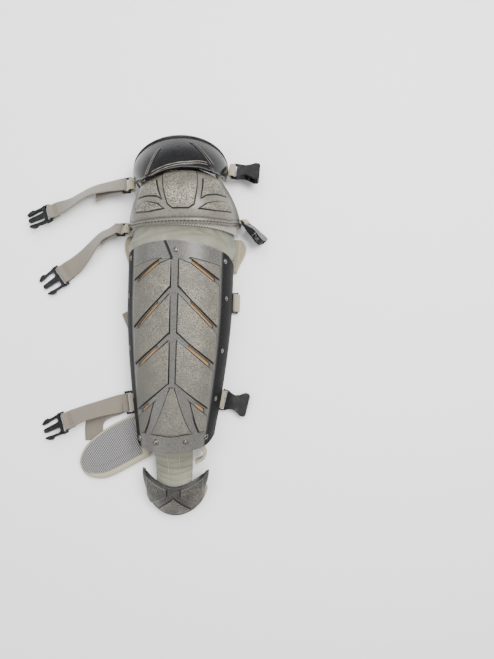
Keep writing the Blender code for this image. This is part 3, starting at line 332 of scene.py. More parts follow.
def beneath(surface, angle, place, depth):
    """Points of a surface sunk by a depth, or raised where it is negative."""
    angle, place = np.broadcast_arrays(np.asarray(angle, float), np.asarray(place, float))
    depth = np.broadcast_to(depth, angle.shape)[..., None]
    return surface(angle, place) - normals_of(surface, angle, place) * depth


# Meshes

def smooth_step(value):
    value = np.clip(value, 0.0, 1.0)
    return value * value * (3 - 2 * value)


def set_uv(mesh, uv):
    """A UV map from one pair a vertex, such as metres along and across a piece."""
    layer = mesh.uv_layers.new(name="UVMap")
    corners = np.empty(len(mesh.loops), np.int32)
    mesh.loops.foreach_get("vertex_index", corners)
    layer.data.foreach_set("uv", np.asarray(uv, float)[corners].ravel())


def set_masks(mesh, masks):
    for name, values in masks.items():
        mesh.attributes.new(name, "FLOAT", "POINT").data.foreach_set("value", values)


def new_object(name, points, faces, material, masks=None, uv=None, sharp=40):
    points = np.asarray(points, float).reshape(-1, 3) + np.array(SHIFT)
    mesh = bpy.data.meshes.new(name)
    mesh.from_pydata(points.tolist(), [], faces)
    set_masks(mesh, masks or {})
    if uv is not None:
        set_uv(mesh, uv)
    mesh.shade_smooth()
    mesh.set_sharp_from_angle(angle=math.radians(sharp))
    mesh.materials.append(material)
    obj = bpy.data.objects.new(name, mesh)
    bpy.context.scene.collection.objects.link(obj)
    return obj


def declare(obj, slot, *nodes):
    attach(obj, "root")
    if nodes:
        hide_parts(*nodes)
    return obj


def shell(name, outer, inner, material, masks=None, gaps=None, uv=None, sharp=40, both=False):
    """A closed wall between an outer and an inner grid of points, open at the gap cells."""
    rows, columns = outer.shape[:2]
    points = np.concatenate([outer.reshape(-1, 3), inner.reshape(-1, 3)])
    back = rows * columns
    keep = np.ones((rows - 1, columns - 1), bool) if gaps is None else ~gaps
    faces, border = [], set()
    for i, j in zip(*np.nonzero(keep)):
        corners = [int(i * columns + j), int(i * columns + j + 1),
                   int((i + 1) * columns + j + 1), int((i + 1) * columns + j)]
        faces.append(corners)
        faces.append([back + corner for corner in reversed(corners)])
        for start, end in zip(corners, corners[1:] + corners[:1]):
            if (end, start) in border:
                border.remove((end, start))
            else:
                border.add((start, end))
    for start, end in sorted(border):
        faces.append([end, start, back + start, back + end])
    values = {key: np.concatenate([mask.ravel(), mask.ravel() * (1.0 if both else 0.0)])
              for key, mask in (masks or {}).items()}
    if uv is not None:
        uv = np.concatenate([uv.reshape(-1, 2)] * 2)
    obj = new_object(name, points, faces, material, values, uv, sharp)
    outward(obj)
    return obj


def outward(obj, weld=None):
    """Drops loose points and turns every face outward, after welding doubles if asked."""
    shape = bmesh.new()
    shape.from_mesh(obj.data)
    if weld:
        bmesh.ops.remove_doubles(shape, verts=shape.verts, dist=weld)
    loose = [vertex for vertex in shape.verts if not vertex.link_faces]
    bmesh.ops.delete(shape, geom=loose, context="VERTS")
    bmesh.ops.recalc_face_normals(shape, faces=shape.faces)
    shape.to_mesh(obj.data)
    shape.free()


def round_edges(obj, width):
    bevel = obj.modifiers.new("soft edges", "BEVEL")
    bevel.width = width
    bevel.segments = 2
    bevel.limit_method = "ANGLE"
    bevel.angle_limit = math.radians(50)
    bevel.harden_normals = False


# Materials

def add_node(tree, kind, **values):
    node = tree.nodes.new(kind)
    for key, value in values.items():
        if hasattr(node, key):
            setattr(node, key, value)
        else:
            node.inputs[key.replace("_", " ")].default_value = value
    return node


def start_material(name, roughness, metallic=0.0, **extra):
    material = bpy.data.materials.new(name)
    material.use_nodes = True
    tree = material.node_tree
    shader = tree.nodes["Principled BSDF"]
    shader.inputs["Roughness"].default_value = roughness
    shader.inputs["Metallic"].default_value = metallic
    for key, value in extra.items():
        shader.inputs[key.replace("_", " ")].default_value = value
    return material, tree, shader


def texture(tree, kind, scale, vector=None, **values):
    node = add_node(tree, kind, **values)
    node.inputs["Scale"].default_value = scale
    if vector is None:
        vector = add_node(tree, "ShaderNodeTexCoord").outputs["Object"]
    tree.links.new(vector, node.inputs["Vector"])
    return node


def noise(tree, scale, vector=None, **values):
    return texture(tree, "ShaderNodeTexNoise", scale, vector, **values).outputs["Fac"]


def ramp(tree, source, stops):
    node = tree.nodes.new("ShaderNodeValToRGB")
    elements = node.color_ramp.elements
    while len(elements) < len(stops):
        elements.new(0.5)
    for element, (place, colour) in zip(elements, stops):
        element.position = place
        if isinstance(colour, (int, float)):
            colour = (colour, colour, colour)
        element.color = (*colour, 1.0)
    tree.links.new(source, node.inputs["Fac"])
    return node.outputs["Color"]


def mix(tree, factor, first, second):
    """Mixes colours. Each input is a socket, a colour or, for the factor, a number."""
    node = tree.nodes.new("ShaderNodeMix")
    node.data_type = "RGBA"
    sockets = [node.inputs[0], node.inputs[6], node.inputs[7]]
    for socket, value in zip(sockets, (factor, first, second)):
        if isinstance(value, bpy.types.NodeSocket):
            tree.links.new(value, socket)
        elif isinstance(value, tuple):
            socket.default_value = (*value, 1.0)
        else:
            socket.default_value = value
    return node.outputs[2]


def maths(tree, operation, first, second):
    node = tree.nodes.new("ShaderNodeMath")
    node.operation = operation
    for socket, value in zip(node.inputs, (first, second)):
        if isinstance(value, bpy.types.NodeSocket):
            tree.links.new(value, socket)
        else:
            socket.default_value = value
    return node.outputs[0]


def mask(tree, name):
    node = tree.nodes.new("ShaderNodeAttribute")
    node.attribute_name = name
    return node.outputs["Fac"]


def bump(tree, shader, height, distance):
    """Adds a relief of a depth to those that the shader already has."""
    node = tree.nodes.new("ShaderNodeBump")
    node.inputs["Distance"].default_value = distance
    node.inputs["Strength"].default_value = 1.0
    tree.links.new(height, node.inputs["Height"])
    earlier = shader.inputs["Normal"].links
    if earlier:
        tree.links.new(earlier[0].from_socket, node.inputs["Normal"])
    tree.links.new(node.outputs["Normal"], shader.inputs["Normal"])


def stretched(tree, scale):
    """Object coordinates scaled apart along each axis."""
    coordinates = add_node(tree, "ShaderNodeTexCoord").outputs["Object"]
    mapping = tree.nodes.new("ShaderNodeMapping")
    mapping.inputs["Scale"].default_value = scale
    tree.links.new(coordinates, mapping.inputs["Vector"])
    return mapping.outputs["Vector"]


def worn_plastic(name, panel, base, edge, side, speck, coarse):
    """Moulded plastic: speckled on its raised panels, smooth in its channels.

    The masks on the mesh are raised (0 in a channel, 1 on a panel), dark (1 on the
    side walls) and one for how much of the tan speckle shows, which leaves less-speckled
    panels darker. The edge colour is a painted highlight along the panels' edges, and the
    slopes between the levels get painted shade.
    """
    material, tree, shader = start_material(name, 0.4)
    raised, dark, speckle = mask(tree, "raised"), mask(tree, "dark"), mask(tree, "speckle")
    fine = noise(tree, 1 / coarse, Detail=4.0, Roughness=0.65)
    grains = texture(tree, "ShaderNodeTexVoronoi", 0.8 / coarse)
    cloud = noise(tree, 38.0, Detail=5.0, Roughness=0.6)
    fleck = ramp(tree, fine, [(0.40, 0.0), (0.60, 1.0)])
    dusty = mix(tree, fleck, tuple(0.40 * value for value in panel), speck)
    amount = maths(tree, "MULTIPLY", ramp(tree, cloud, [(0.36, 0.30), (0.64, 1.0)]),
                   speckle)
    dusty = mix(tree, amount, panel, dusty)
    smooth = mix(tree, maths(tree, "MULTIPLY", fleck, 0.30), base, speck)
    on_top = ramp(tree, raised, [(0.55, 0.0), (0.98, 1.0)])
    colour = mix(tree, on_top, smooth, dusty)
    # Painted shade: the slopes between a panel and its channel are darkened almost to black.
    crevice_shade = ramp(tree, raised, [(0.002, 0.0), (0.04, 1.0), (0.66, 1.0), (0.88, 0.0)])
    colour = mix(tree, crevice_shade, colour, (0.004, 0.004, 0.0045))
    # Painted highlight: a light line where a slope meets the top of a panel, in the edge colour.
    rim = ramp(tree, raised, [(0.86, 0.0), (0.95, 1.0), (0.999, 0.0)])
    colour = mix(tree, maths(tree, "MULTIPLY", rim, 0.55), colour, edge)
    shadowed = mix(tree, ramp(tree, fine, [(0.45, 0.0), (0.75, 0.35)]), side, base)
    colour = mix(tree, dark, colour, shadowed)
    tree.links.new(colour, shader.inputs["Base Color"])
    rough = ramp(tree, on_top, [(0.0, 0.33), (1.0, 0.50)])
    rough = mix(tree, dark, rough, (0.55, 0.55, 0.55))
    tree.links.new(rough, shader.inputs["Roughness"])
    gloss = mix(tree, dark, (0.36, 0.36, 0.36), (0.05, 0.05, 0.05))
    tree.links.new(gloss, shader.inputs["Specular IOR Level"])
    relief = maths(tree, "MULTIPLY", fine, maths(tree, "ADD", on_top, 0.25))
    bump(tree, shader, relief, 0.00035)
    pits = maths(tree, "MULTIPLY", grains.outputs["Distance"], maths(tree, "ADD", on_top, 0.1))
    bump(tree, shader, pits, 0.0002)
    scratch = noise(tree, 1.0, stretched(tree, (1500, 90, 600)), Detail=3.0)
    bump(tree, shader, scratch, 0.00008)
    return material


def gloss_plastic():
    material, tree, shader = start_material("gloss_plastic", 0.2, Coat_Weight=0.04,
                                            Coat_Roughness=0.15, Specular_IOR_Level=0.16)
    ridge = mask(tree, "raised")
    scratch = noise(tree, 1.0, stretched(tree, (260, 1400, 500)),
                      Detail=4.0)
    haze = noise(tree, 45.0, Detail=5.0)
    lines = ramp(tree, scratch, [(0.60, 0.0), (0.74, 1.0)])
    colour = mix(tree, maths(tree, "MULTIPLY", lines, 0.22), (0.006, 0.006, 0.0065),
                 (0.10, 0.09, 0.08))
    crest = ramp(tree, ridge, [(0.72, 0.0), (0.98, 1.0)])
    colour = mix(tree, maths(tree, "MULTIPLY", crest, 0.75), colour, (0.27, 0.235, 0.20))
    tree.links.new(colour, shader.inputs["Base Color"])
    rough = ramp(tree, haze, [(0.3, 0.17), (0.7, 0.36)])
    tree.links.new(rough, shader.inputs["Roughness"])
    bump(tree, shader, scratch, 0.00008)
    bump(tree, shader, haze, 0.0002)
    return material


def leatherette():
    material, tree, shader = start_material("leatherette", 0.52, Sheen_Weight=0.15)
    grain = texture(tree, "ShaderNodeTexVoronoi", 1400.0)
    cloud = noise(tree, 30.0, Detail=4.0)
    colour = mix(tree, ramp(tree, cloud, [(0.3, 0.0), (0.7, 1.0)]),
                 (0.120, 0.122, 0.086), (0.185, 0.182, 0.132))
    # Where the dark mask is set, painted shade darkens creases, folds and sunk lines.
    colour = mix(tree, maths(tree, "MULTIPLY", mask(tree, "dark"), 0.7), colour,
                 (0.040, 0.040, 0.028))
    tree.links.new(colour, shader.inputs["Base Color"])
    bump(tree, shader, grain.outputs["Distance"], 0.00012)
    creases = noise(tree, 1.0, stretched(tree, (45, 160, 45)), Detail=3.0)
    bump(tree, shader, creases, 0.0009)
    return material


def uv_wave(tree, angle, pitch):
    """Stripes across the UV map, at an angle and with a pitch in metres."""
    coordinates = add_node(tree, "ShaderNodeTexCoord").outputs["UV"]
    mapping = tree.nodes.new("ShaderNodeMapping")
    mapping.inputs["Rotation"].default_value = (0, 0, angle)
    tree.links.new(coordinates, mapping.inputs["Vector"])
    wave = tree.nodes.new("ShaderNodeTexWave")
    wave.wave_profile = "SIN"
    wave.inputs["Scale"].default_value = math.pi / (10 * pitch)
    tree.links.new(mapping.outputs["Vector"], wave.inputs["Vector"])
    return wave.outputs["Fac"]


def cloth(name, low, high, pitch, depth, soil, rim=None):
    """Woven cloth with two crossing sets of threads on its UV map."""
    material, tree, shader = start_material(name, 0.82, Sheen_Weight=0.2)
    warp, weft = uv_wave(tree, 0.0, pitch), uv_wave(tree, math.pi / 2, pitch)
    weave = maths(tree, "MULTIPLY", warp, weft)
    cloud = noise(tree, 60.0, Detail=5.0)
    fibre = noise(tree, 2600.0, Detail=2.0)
    colour = mix(tree, ramp(tree, weave, [(0.05, 0.0), (0.6, 1.0)]), low, high)
    dirt = ramp(tree, cloud, [(0.38, 0.0), (0.72, 0.55)])
    colour = mix(tree, dirt, colour, soil)
    if rim:
        colour = mix(tree, mask(tree, "rim"), colour, rim)
    # Where the dark mask is set, painted shade darkens sunk seams.
    colour = mix(tree, maths(tree, "MULTIPLY", mask(tree, "dark"), 0.65), colour,
                 tuple(value * 0.4 for value in low))
    tree.links.new(colour, shader.inputs["Base Color"])
    bump(tree, shader, weave, depth)
    bump(tree, shader, fibre, 0.00006)
    return material


def webbing_material():
    """Flat webbing: fine ribs along it, crossed by a tight weft."""
    material, tree, shader = start_material("webbing", 0.7, Sheen_Weight=0.25)
    ribs, weft = uv_wave(tree, 0.0, 0.0021), uv_wave(tree, math.pi / 2, 0.0011)
    weave = maths(tree, "ADD", maths(tree, "MULTIPLY", ribs, 0.6), maths(tree, "MULTIPLY", weft, 0.5))
    cloud = noise(tree, 40.0, Detail=5.0)
    fibre = noise(tree, 2400.0, Detail=2.0)
    colour = mix(tree, ramp(tree, weave, [(0.15, 0.0), (0.9, 1.0)]),
                 (0.085, 0.072, 0.054), (0.190, 0.164, 0.126))
    dirt = ramp(tree, cloud, [(0.35, 0.0), (0.7, 0.45)])
    colour = mix(tree, dirt, colour, (0.115, 0.098, 0.073))
    tree.links.new(colour, shader.inputs["Base Color"])
    bump(tree, shader, weave, 0.00030)
    bump(tree, shader, fibre, 0.00005)
    return material


def mesh_cloth(name, low, high, pitch, lean, depth, rim=None):
    """Spacer mesh: rows of small dark holes in a grey knit, or leaning ribs."""
    material, tree, shader = start_material(name, 0.75, Sheen_Weight=0.2)
    net = uv_wave(tree, lean, pitch)
    if rim:
        net = maths(tree, "MULTIPLY", net, uv_wave(tree, -lean, pitch))
    cloud = noise(tree, 25.0, Detail=4.0)
    fibre = noise(tree, 2400.0, Detail=2.0)
    colour = mix(tree, ramp(tree, net, [(0.04, 0.0), (0.40, 1.0)]), low, high)
    grime = ramp(tree, cloud, [(0.35, 0.0), (0.7, 0.35)])
    colour = mix(tree, grime, colour, tuple(0.7 * (a + b) / 2 for a, b in zip(low, high)))
    if rim:
        edge = mix(tree, ramp(tree, fibre, [(0.3, 0.0), (0.7, 1.0)]),
                   tuple(value * 0.72 for value in rim), rim)
        colour = mix(tree, mask(tree, "rim"), colour, edge)
        net = maths(tree, "MULTIPLY", net, maths(tree, "SUBTRACT", 1.0, mask(tree, "rim")))
    # Where the dark mask is set, painted shade darkens sunk grooves.
    colour = mix(tree, maths(tree, "MULTIPLY", mask(tree, "dark"), 0.6), colour,
                 (0.06, 0.06, 0.06))
    tree.links.new(colour, shader.inputs["Base Color"])
    bump(tree, shader, net, depth)
    bump(tree, shader, fibre, 0.00005)
    return material


def black_plastic():
    material, tree, shader = start_material("black_plastic", 0.34, Specular_IOR_Level=0.22)
    grain = noise(tree, 1800.0, Detail=2.0)
    scuff = noise(tree, 120.0, Detail=6.0, Roughness=0.7)
    colour = mix(tree, ramp(tree, scuff, [(0.52, 0.0), (0.78, 1.0)]),
                 (0.005, 0.005, 0.0055), (0.030, 0.029, 0.027))
    tree.links.new(colour, shader.inputs["Base Color"])
    rough = ramp(tree, scuff, [(0.3, 0.28), (0.7, 0.5)])
    tree.links.new(rough, shader.inputs["Roughness"])
    bump(tree, shader, grain, 0.00006)
    return material


def rivet_metal():
    material, tree, shader = start_material("rivet_metal", 0.4, 1.0)
    scuff = noise(tree, 420.0, Detail=5.0, Roughness=0.7)
    colour = mix(tree, ramp(tree, scuff, [(0.40, 0.0), (0.66, 1.0)]),
                 (0.035, 0.033, 0.031), (0.32, 0.285, 0.26))
    tree.links.new(colour, shader.inputs["Base Color"])
    rough = ramp(tree, scuff, [(0.3, 0.3), (0.7, 0.55)])
    tree.links.new(rough, shader.inputs["Roughness"])
    bump(tree, shader, scuff, 0.0002)
    return material


def plain_thread(name, colour):
    material, tree, shader = start_material(name, 0.7)
    twist = noise(tree, 1500.0, Detail=2.0)
    shade = mix(tree, twist, tuple(value * 0.6 for value in colour), colour)
    tree.links.new(shade, shader.inputs["Base Color"])
    return material


PANEL = (0.066, 0.063, 0.053)
BASE = (0.050, 0.050, 0.050)
# The edge colour below is a painted highlight along the panels' edges.
SPECK = (0.235, 0.212, 0.162)
EDGE_HIGHLIGHT = (0.20, 0.19, 0.17)
SIDE = (0.006, 0.006, 0.0065)
MATERIALS = {
    "shin": worn_plastic("worn_plastic", PANEL, BASE, EDGE_HIGHLIGHT, SIDE, SPECK, 0.0016),
    "knee": worn_plastic("knee_plastic", (0.060, 0.056, 0.047), (0.085, 0.079, 0.066), EDGE_HIGHLIGHT, SIDE,
                         (0.27, 0.24, 0.18), 0.0021),
    "toe": worn_plastic("toe_plastic", (0.022, 0.0215, 0.020), (0.011, 0.011, 0.012), EDGE_HIGHLIGHT, SIDE,
                        (0.19, 0.172, 0.136), 0.0017),
    "thigh": gloss_plastic(),
    "leatherette": leatherette(),
    "liner": cloth("liner_foam", (0.20, 0.115, 0.050), (0.52, 0.32, 0.145), 0.0010, 0.0002,
                   soil=(0.30, 0.18, 0.085), rim=(0.40, 0.355, 0.25)),
    "cream": cloth("cream_fabric", (0.200, 0.172, 0.112), (0.44, 0.395, 0.285), 0.0011, 0.0003,
                   soil=(0.27, 0.235, 0.16)),
    "webbing": webbing_material(),
    "rib mesh": mesh_cloth("mesh_fabric", (0.05, 0.048, 0.044), (0.36, 0.345, 0.30), 0.0030, 0.75,
                           0.0008),
    "wing mesh": mesh_cloth("wing_mesh", (0.035, 0.034, 0.036), (0.29, 0.28, 0.275), 0.0031, 0.6,
                            0.0006, rim=(0.36, 0.32, 0.225)),
    "black": black_plastic(),
    "rivet": rivet_metal(),
    "black_thread": plain_thread("black_thread", (0.02, 0.02, 0.022)),
    "cream_thread": plain_thread("cream_thread", (0.52, 0.47, 0.34)),
}


# Relief of the shin and the knee

Row = namedtuple("Row", "centre inner outer edge kind")
SHIN_ROWS = (
    Row(0.000, 0.000, 0.000, 0.000, "top"),
    Row(0.071, 0.079, 0.107, 0.127, "base"),
    Row(0.076, 0.083, 0.115, 0.137, "wedge"),
    Row(0.078, 0.085, 0.169, 0.196, "wedge end"),
    Row(0.081, 0.087, 0.182, 0.208, "slot"),
    Row(0.0845, 0.104, 0.199, 0.227, "base"),
    Row(0.090, 0.112, 0.208, 0.236, "panel"),
    Row(0.208, 0.269, 0.394, 0.441, "panel end"),
    Row(0.227, 0.279, 0.407, 0.453, "slot"),
    Row(0.239, 0.298, 0.424, 0.472, "base"),
    Row(0.256, 0.307, 0.435, 0.481, "panel"),
    Row(0.425, 0.474, 0.571, 0.612, "panel end"),
    Row(0.441, 0.486, 0.585, 0.627, "slot"),
    Row(0.457, 0.503, 0.604, 0.646, "base"),
    Row(0.474, 0.512, 0.615, 0.655, "panel"),
    Row(0.665, 0.703, 0.789, 0.817, "panel end"),
    Row(0.675, 0.717, 0.804, 0.832, "short slot"),
    Row(0.683, 0.734, 0.823, 0.851, "base"),
    Row(0.693, 0.7375, 0.835, 0.863, "apex"),
    Row(0.915, 0.907, 0.901, 0.904, "foot"),
    Row(0.925, 0.918, 0.913, 0.916, "low"),
    Row(1.000, 1.000, 1.000, 1.000, "bottom"),
)
SHIN_COLUMNS = (0.0, 0.05, 0.085, 0.28, 0.50, 0.70, 0.745, 0.785, 0.87, 0.94, 0.985, 1.0)
SHIN_SPREAD = {
    "apex": (0.0, 0.03, 0.06, 0.41, 0.54, 0.68, 0.735),
    "foot": (0.0, 0.45, 0.48, 0.645, 0.68, 0.72, 0.75),
    "low": (0.0, 0.47, 0.51, 0.655, 0.69, 0.73, 0.76),
    "bottom": (0.0, 0.25, 0.42, 0.60, 0.68, 0.73, 0.76),
}
SHIN_STATIONS = (0.085, 0.28, 0.745, 1.0)
SLOT_COLUMNS = {"slot": (3, 4), "short slot": (4,)}
SHIN_RAISED = {
    "wedge": (3, 4, 5, 6), "wedge end": (3, 4, 5, 6),
    "panel": (2, 3, 4, 5, 6), "panel end": (2, 3, 4, 5, 6),
    "apex": (0, 1, 3, 4, 5, 6), "foot": (0, 1, 3, 4, 5, 6),
}
# Each panel rises like a scale, from its upper to its lower edge
SHIN_LIFT = {"wedge": 0.5, "wedge end": 1.2, "panel": 0.5, "panel end": 1.45, "apex": 0.5,
             "foot": 1.3}

KneeRow = namedtuple("KneeRow", "centre inner middle outer edge")
KNEE_EDGE = KneeRow(0.00, 0.00, 0.00, 0.01, 0.09)
KNEE_TOP = KneeRow(1.00, 0.99, 0.92, 0.85, 0.775)
KNEE_STATIONS = (0.0, 0.33, 0.56, 0.82, 1.0)
# Corners of the knee's panels: shares of the half width across and of the length upward
KNEE_PANELS = (
    ((-0.40, 0.90), (-0.334, 0.744), (-0.174, 0.289), (-0.087, 0.222), (0.174, 0.222),
     (0.267, 0.283), (0.383, 0.672), (0.44, 0.90)),
    ((0.326, 0.218), (0.47, 0.31), (0.67, 0.375), (0.83, 0.395), (0.90, 0.33), (0.86, 0.235),
     (0.595, 0.205)),
    ((-0.225, 0.218), (-0.334, 0.305), (-0.545, 0.365), (-0.72, 0.37), (-0.80, 0.30),
     (-0.76, 0.225), (-0.50, 0.195)),
    ((0.375, 0.372), (0.492, 0.440), (0.656, 0.480), (0.850, 0.490), (0.862, 0.60),
     (0.713, 0.756), (0.508, 0.735)),
    ((-0.267, 0.367), (-0.367, 0.425), (-0.552, 0.455), (-0.76, 0.455), (-0.75, 0.590),
     (-0.636, 0.72), (-0.454, 0.72)),
)


def both_sides(columns):
    return np.array([-column for column in reversed(columns[1:])] + list(columns))


def shin_columns(kind):
    spread = SHIN_SPREAD.get(kind, ())
    return both_sides(list(spread) + list(SHIN_COLUMNS[len(spread):]))


def shin_row_y(row, side):
    if row.kind == "top":
        return shin_top_edge(side)
    if row.kind == "bottom":
        return shin_bottom_edge(side)
    stations = (row.centre, row.inner, row.outer, row.edge)
    y = SHIN_TOP - np.interp(np.abs(side), SHIN_STATIONS, stations) * SHIN_LENGTH
    return y + SHIN_SKEW * side * shin_half(y)


def knee_row_y(row, side):
    stations = (row.centre, row.inner, row.middle, row.outer, row.edge)
    return np.interp(np.abs(side), KNEE_STATIONS, stations) * KNEE_LENGTH


def inside_outline(x, y, corners):
    """How far inside a closed outline each point lies; negative outside it."""
    reach = np.full(x.shape, 9.0)
    inside = np.zeros(x.shape, bool)
    for (ax, ay), (bx, by) in zip(corners, corners[1:] + corners[:1]):
        reach = np.minimum(reach, segment_distance(x, y, (ax, ay), (bx, by)))
        crosses = (ay > y) != (by > y)
        with np.errstate(divide="ignore", invalid="ignore"):
            place = (bx - ax) * (y - ay) / (by - ay if by != ay else 1e-12) + ax
        inside ^= crosses & (x < place)
    return np.where(inside, reach, -reach)


def steps_for(length):
    return int(min(40, max(4, math.ceil(length / CELL))))


def relief_grid(surface, rows, columns_of, y_of, levels_of, lift_of):
    """Fine grids over the table's cells: side, y, mask of the raised panels, and lift.

    A panel drops to its surround within RELIEF_EDGE of its border.
    """
    middle = len(columns_of(rows[0])) // 2
    count = 2 * middle + 1
    half = abs(surface(np.array([math.pi / 2]), np.array([y_of(rows[len(rows) // 2], 0.5)]))[0, 0])
    column_steps = [steps_for(abs(b - a) * half * 1.15) for a, b in
                    zip(columns_of(rows[4])[:-1], columns_of(rows[4])[1:])]
    sides, places, masks, lifts, cells = [], [], [], [], []
    for index in range(len(rows) - 1):
        first, second = rows[index], rows[index + 1]
        run = float(np.abs(y_of(first, np.array([0.6])) - y_of(second, np.array([0.6])))[0])
        steps = steps_for(run)
        last = index == len(rows) - 2
        levels = [np.array([1.0 if abs(column - middle) in levels_of(row) else 0.0
                            for column in range(count)]) for row in (first, second)]
        for step in range(steps + (1 if last else 0)):
            f = step / steps
            side_row, mask_row, cell_row = [], [], []
            for column in range(count - 1):
                pieces = column_steps[column]
                end = column == count - 2
                g = np.arange(pieces + (1 if end else 0)) / pieces
                a = columns_of(first)[column:column + 2]
                b = columns_of(second)[column:column + 2]
                start, stop = a[0] + (b[0] - a[0]) * f, a[1] + (b[1] - a[1]) * f
                side_row.append(start + (stop - start) * g)
                width = abs(stop - start) * half
                tops = [edge_blend(level[column], level[column + 1], g, width)
                        for level in levels]
                mask_row.append(edge_blend(tops[0], tops[1], f, run))
                cell_row.append(np.full(len(g), column))
            side = np.concatenate(side_row)
            sides.append(side)
            places.append(y_of(first, side) * (1 - f) + y_of(second, side) * f)
            masks.append(np.concatenate(mask_row))
            lifts.append(np.full(len(side), lift_of(first) * (1 - f) + lift_of(second) * f))
            cells.append(np.stack([np.full(len(side), index), np.concatenate(cell_row)], -1))
    return [np.array(part) for part in (sides, places, masks, lifts, cells)]


def edge_blend(first, second, share, length):
    """From one level to another, turning within RELIEF_EDGE of the raised one."""
    width = max(1e-9, min(RELIEF_EDGE, length))
    from_first = 1 - smooth_step(share * length / width)
    from_second = 1 - smooth_step((1 - share) * length / width)
    high_first = second + (first - second) * from_first
    high_second = first + (second - first) * from_second
    return np.where(np.asarray(first) >= np.asarray(second), high_first, high_second)


def shin_plate():
    side, y, raised, lift, cells = relief_grid(
        shin_surface, SHIN_ROWS, lambda row: shin_columns(row.kind), shin_row_y,
        lambda row: SHIN_RAISED.get(row.kind, ()),
        lambda row: SHIN_LIFT.get(row.kind, 1.0))
    angle = np.arcsin(np.clip(side, -1, 1))
    height = RELIEF * lift * raised
    height += collar_step(side, y)
    height += edge_bead(side, y)
    outer = beneath(shin_surface, angle, y, -height)
    inner = beneath(shin_surface, angle, y, PLATE_WALL)
    middle = len(SHIN_COLUMNS) - 1
    gaps = np.zeros((side.shape[0] - 1, side.shape[1] - 1), bool)
    for index, row in enumerate(SHIN_ROWS):
        for column in SLOT_COLUMNS.get(row.kind, ()):
            for place in (middle + column, middle - column - 1):
                gaps |= ((cells[:-1, :-1, 0] == index) & (cells[:-1, :-1, 1] == place))
    dark = smooth_step((np.abs(side) - 0.775) / 0.05)
    share = (SHIN_TOP - y) / SHIN_LENGTH
    # Fewer tan specks make the panels darker: towards the left side this is painted shade; they also
    # thin towards the bottom.
    speckle = 1.0 - 0.55 * smooth_step((-side - 0.1) / 0.6) - 0.45 * smooth_step((share - 0.45) / 0.3)
    # Painted shade at the collar's step, given to the raised mask so that the material draws it dark.
    seam = 0.45 * collar_step_shade(side, y)
    masks = {"raised": np.maximum(raised, seam), "dark": dark, "speckle": np.clip(speckle, 0.1, 1)}
    plate = shell("shin_plate_shown", outer, inner, MATERIALS["shin"], masks, gaps, sharp=55)
    return declare(plate, "worn_plastic", "shin_plate")


def collar_step(side, y):
    """The left half of the collar lies one layer lower than the right half."""
    x = side * SHIN_TOP_HALF
    line = -0.0045 - 0.45 * np.maximum(0.0, y - (SHIN_TOP - 0.025))
    lower = smooth_step((line - x) / 0.0012) * (1 - smooth_step((line - x - 0.004) / 0.030))
    collar = smooth_step((y - (SHIN_TOP - 0.0300)) / 0.004)
    return -0.0028 * lower * collar


def collar_step_shade(side, y):
    """Painted shade: a dark line at the foot of the collar's step."""
    line = -0.0045 - 0.45 * np.maximum(0.0, y - (SHIN_TOP - 0.025)) - 0.0012
    collar = smooth_step((y - (SHIN_TOP - 0.0300)) / 0.004)
    return np.exp(-((side * SHIN_TOP_HALF - line) / 0.0012) ** 2) * collar


def edge_bead(side, y):
    """A slight thickening along the plate's outer border."""
    top = shin_top_edge(side) - y
    bottom = y - shin_bottom_edge(side)
    reach = np.minimum(top, bottom)
    return 0.0005 * (1 - smooth_step(np.abs(reach - 0.0012) / 0.0012))


def knee_plate():
    side = np.sin(np.radians(np.linspace(-90, 90, 231)))[None]
    share = np.linspace(0, 1, 125)[:, None]
    low, high = knee_row_y(KNEE_EDGE, side), knee_row_y(KNEE_TOP, side)
    y = low + (high - low) * share
    side = side + 0 * y
    up = y / KNEE_LENGTH
    raised = np.zeros_like(y)
    for corners in KNEE_PANELS:
        plan = tuple((x * KNEE_HALF, place * KNEE_LENGTH) for x, place in corners)
        inside = inside_outline(side * KNEE_HALF, y, plan)
        raised = np.maximum(raised, smooth_step((inside + 0.0008) / 0.0026))
    raised *= 1 - smooth_step((up - 0.84) / 0.06)
    seam = y - low
    ridge = np.exp(-((seam - KNEE_SEAM_PLACE) / 0.0017) ** 2)
    above = np.exp(-((seam - 0.0075) / 0.0014) ** 2)
    angle = np.arcsin(np.clip(side, -1, 1))
    swell = smooth_step((up - 0.04) / 0.1) * 0.0004
    outer = beneath(knee_surface, angle, y, -(0.95 * RELIEF * raised + 0.0010 * ridge
                                              - 0.0005 * above + swell))
    inner = beneath(knee_surface, angle, y, PLATE_WALL)
    dark = 0.85 * smooth_step((np.abs(side) - 0.86) / 0.12)
    dark = np.maximum(dark, 0.8 * smooth_step((up - 0.78) / 0.12))
    # Painted shade along the sunk line above the seam.
    dark = np.maximum(dark, 0.55 * above)
    speckle = np.clip(1.15 - 0.5 * smooth_step((up - 0.5) / 0.3), 0.2, 1.15)
    masks = {"raised": raised, "dark": dark, "speckle": speckle}
    plate = shell("knee_plate_shown", outer, inner, MATERIALS["knee"], masks, sharp=60)
    return declare(plate, "worn_plastic", "knee_plate")


# Ridges of the thigh plate: from one side and share of its surface to another
Ridge = namedtuple("Ridge", "x0 y0 x1 y1")
THIGH_RIDGES = (
    Ridge(-0.292, 0.62, -0.60, 0.07), Ridge(-0.340, 0.60, -0.645, 0.06),
    Ridge(0.342, 0.74, 0.743, 0.23), Ridge(0.300, 0.74, 0.700, 0.20),
    Ridge(-0.485, 0.085, 0.242, 0.125), Ridge(0.242, 0.125, 0.629, 0.20),
    Ridge(-0.500, 0.030, 0.242, 0.075), Ridge(0.242, 0.075, 0.640, 0.145),
)
THIGH_BOSSES = ((-0.60, -0.02), (0.731, 0.05))


def segment_distance(x, y, start, end):
    ex, ey = end[0] - start[0], end[1] - start[1]
    t = np.clip(((x - start[0]) * ex + (y - start[1]) * ey) / (ex * ex + ey * ey), 0, 1)
    return np.hypot(x - start[0] - ex * t, y - start[1] - ey * t)


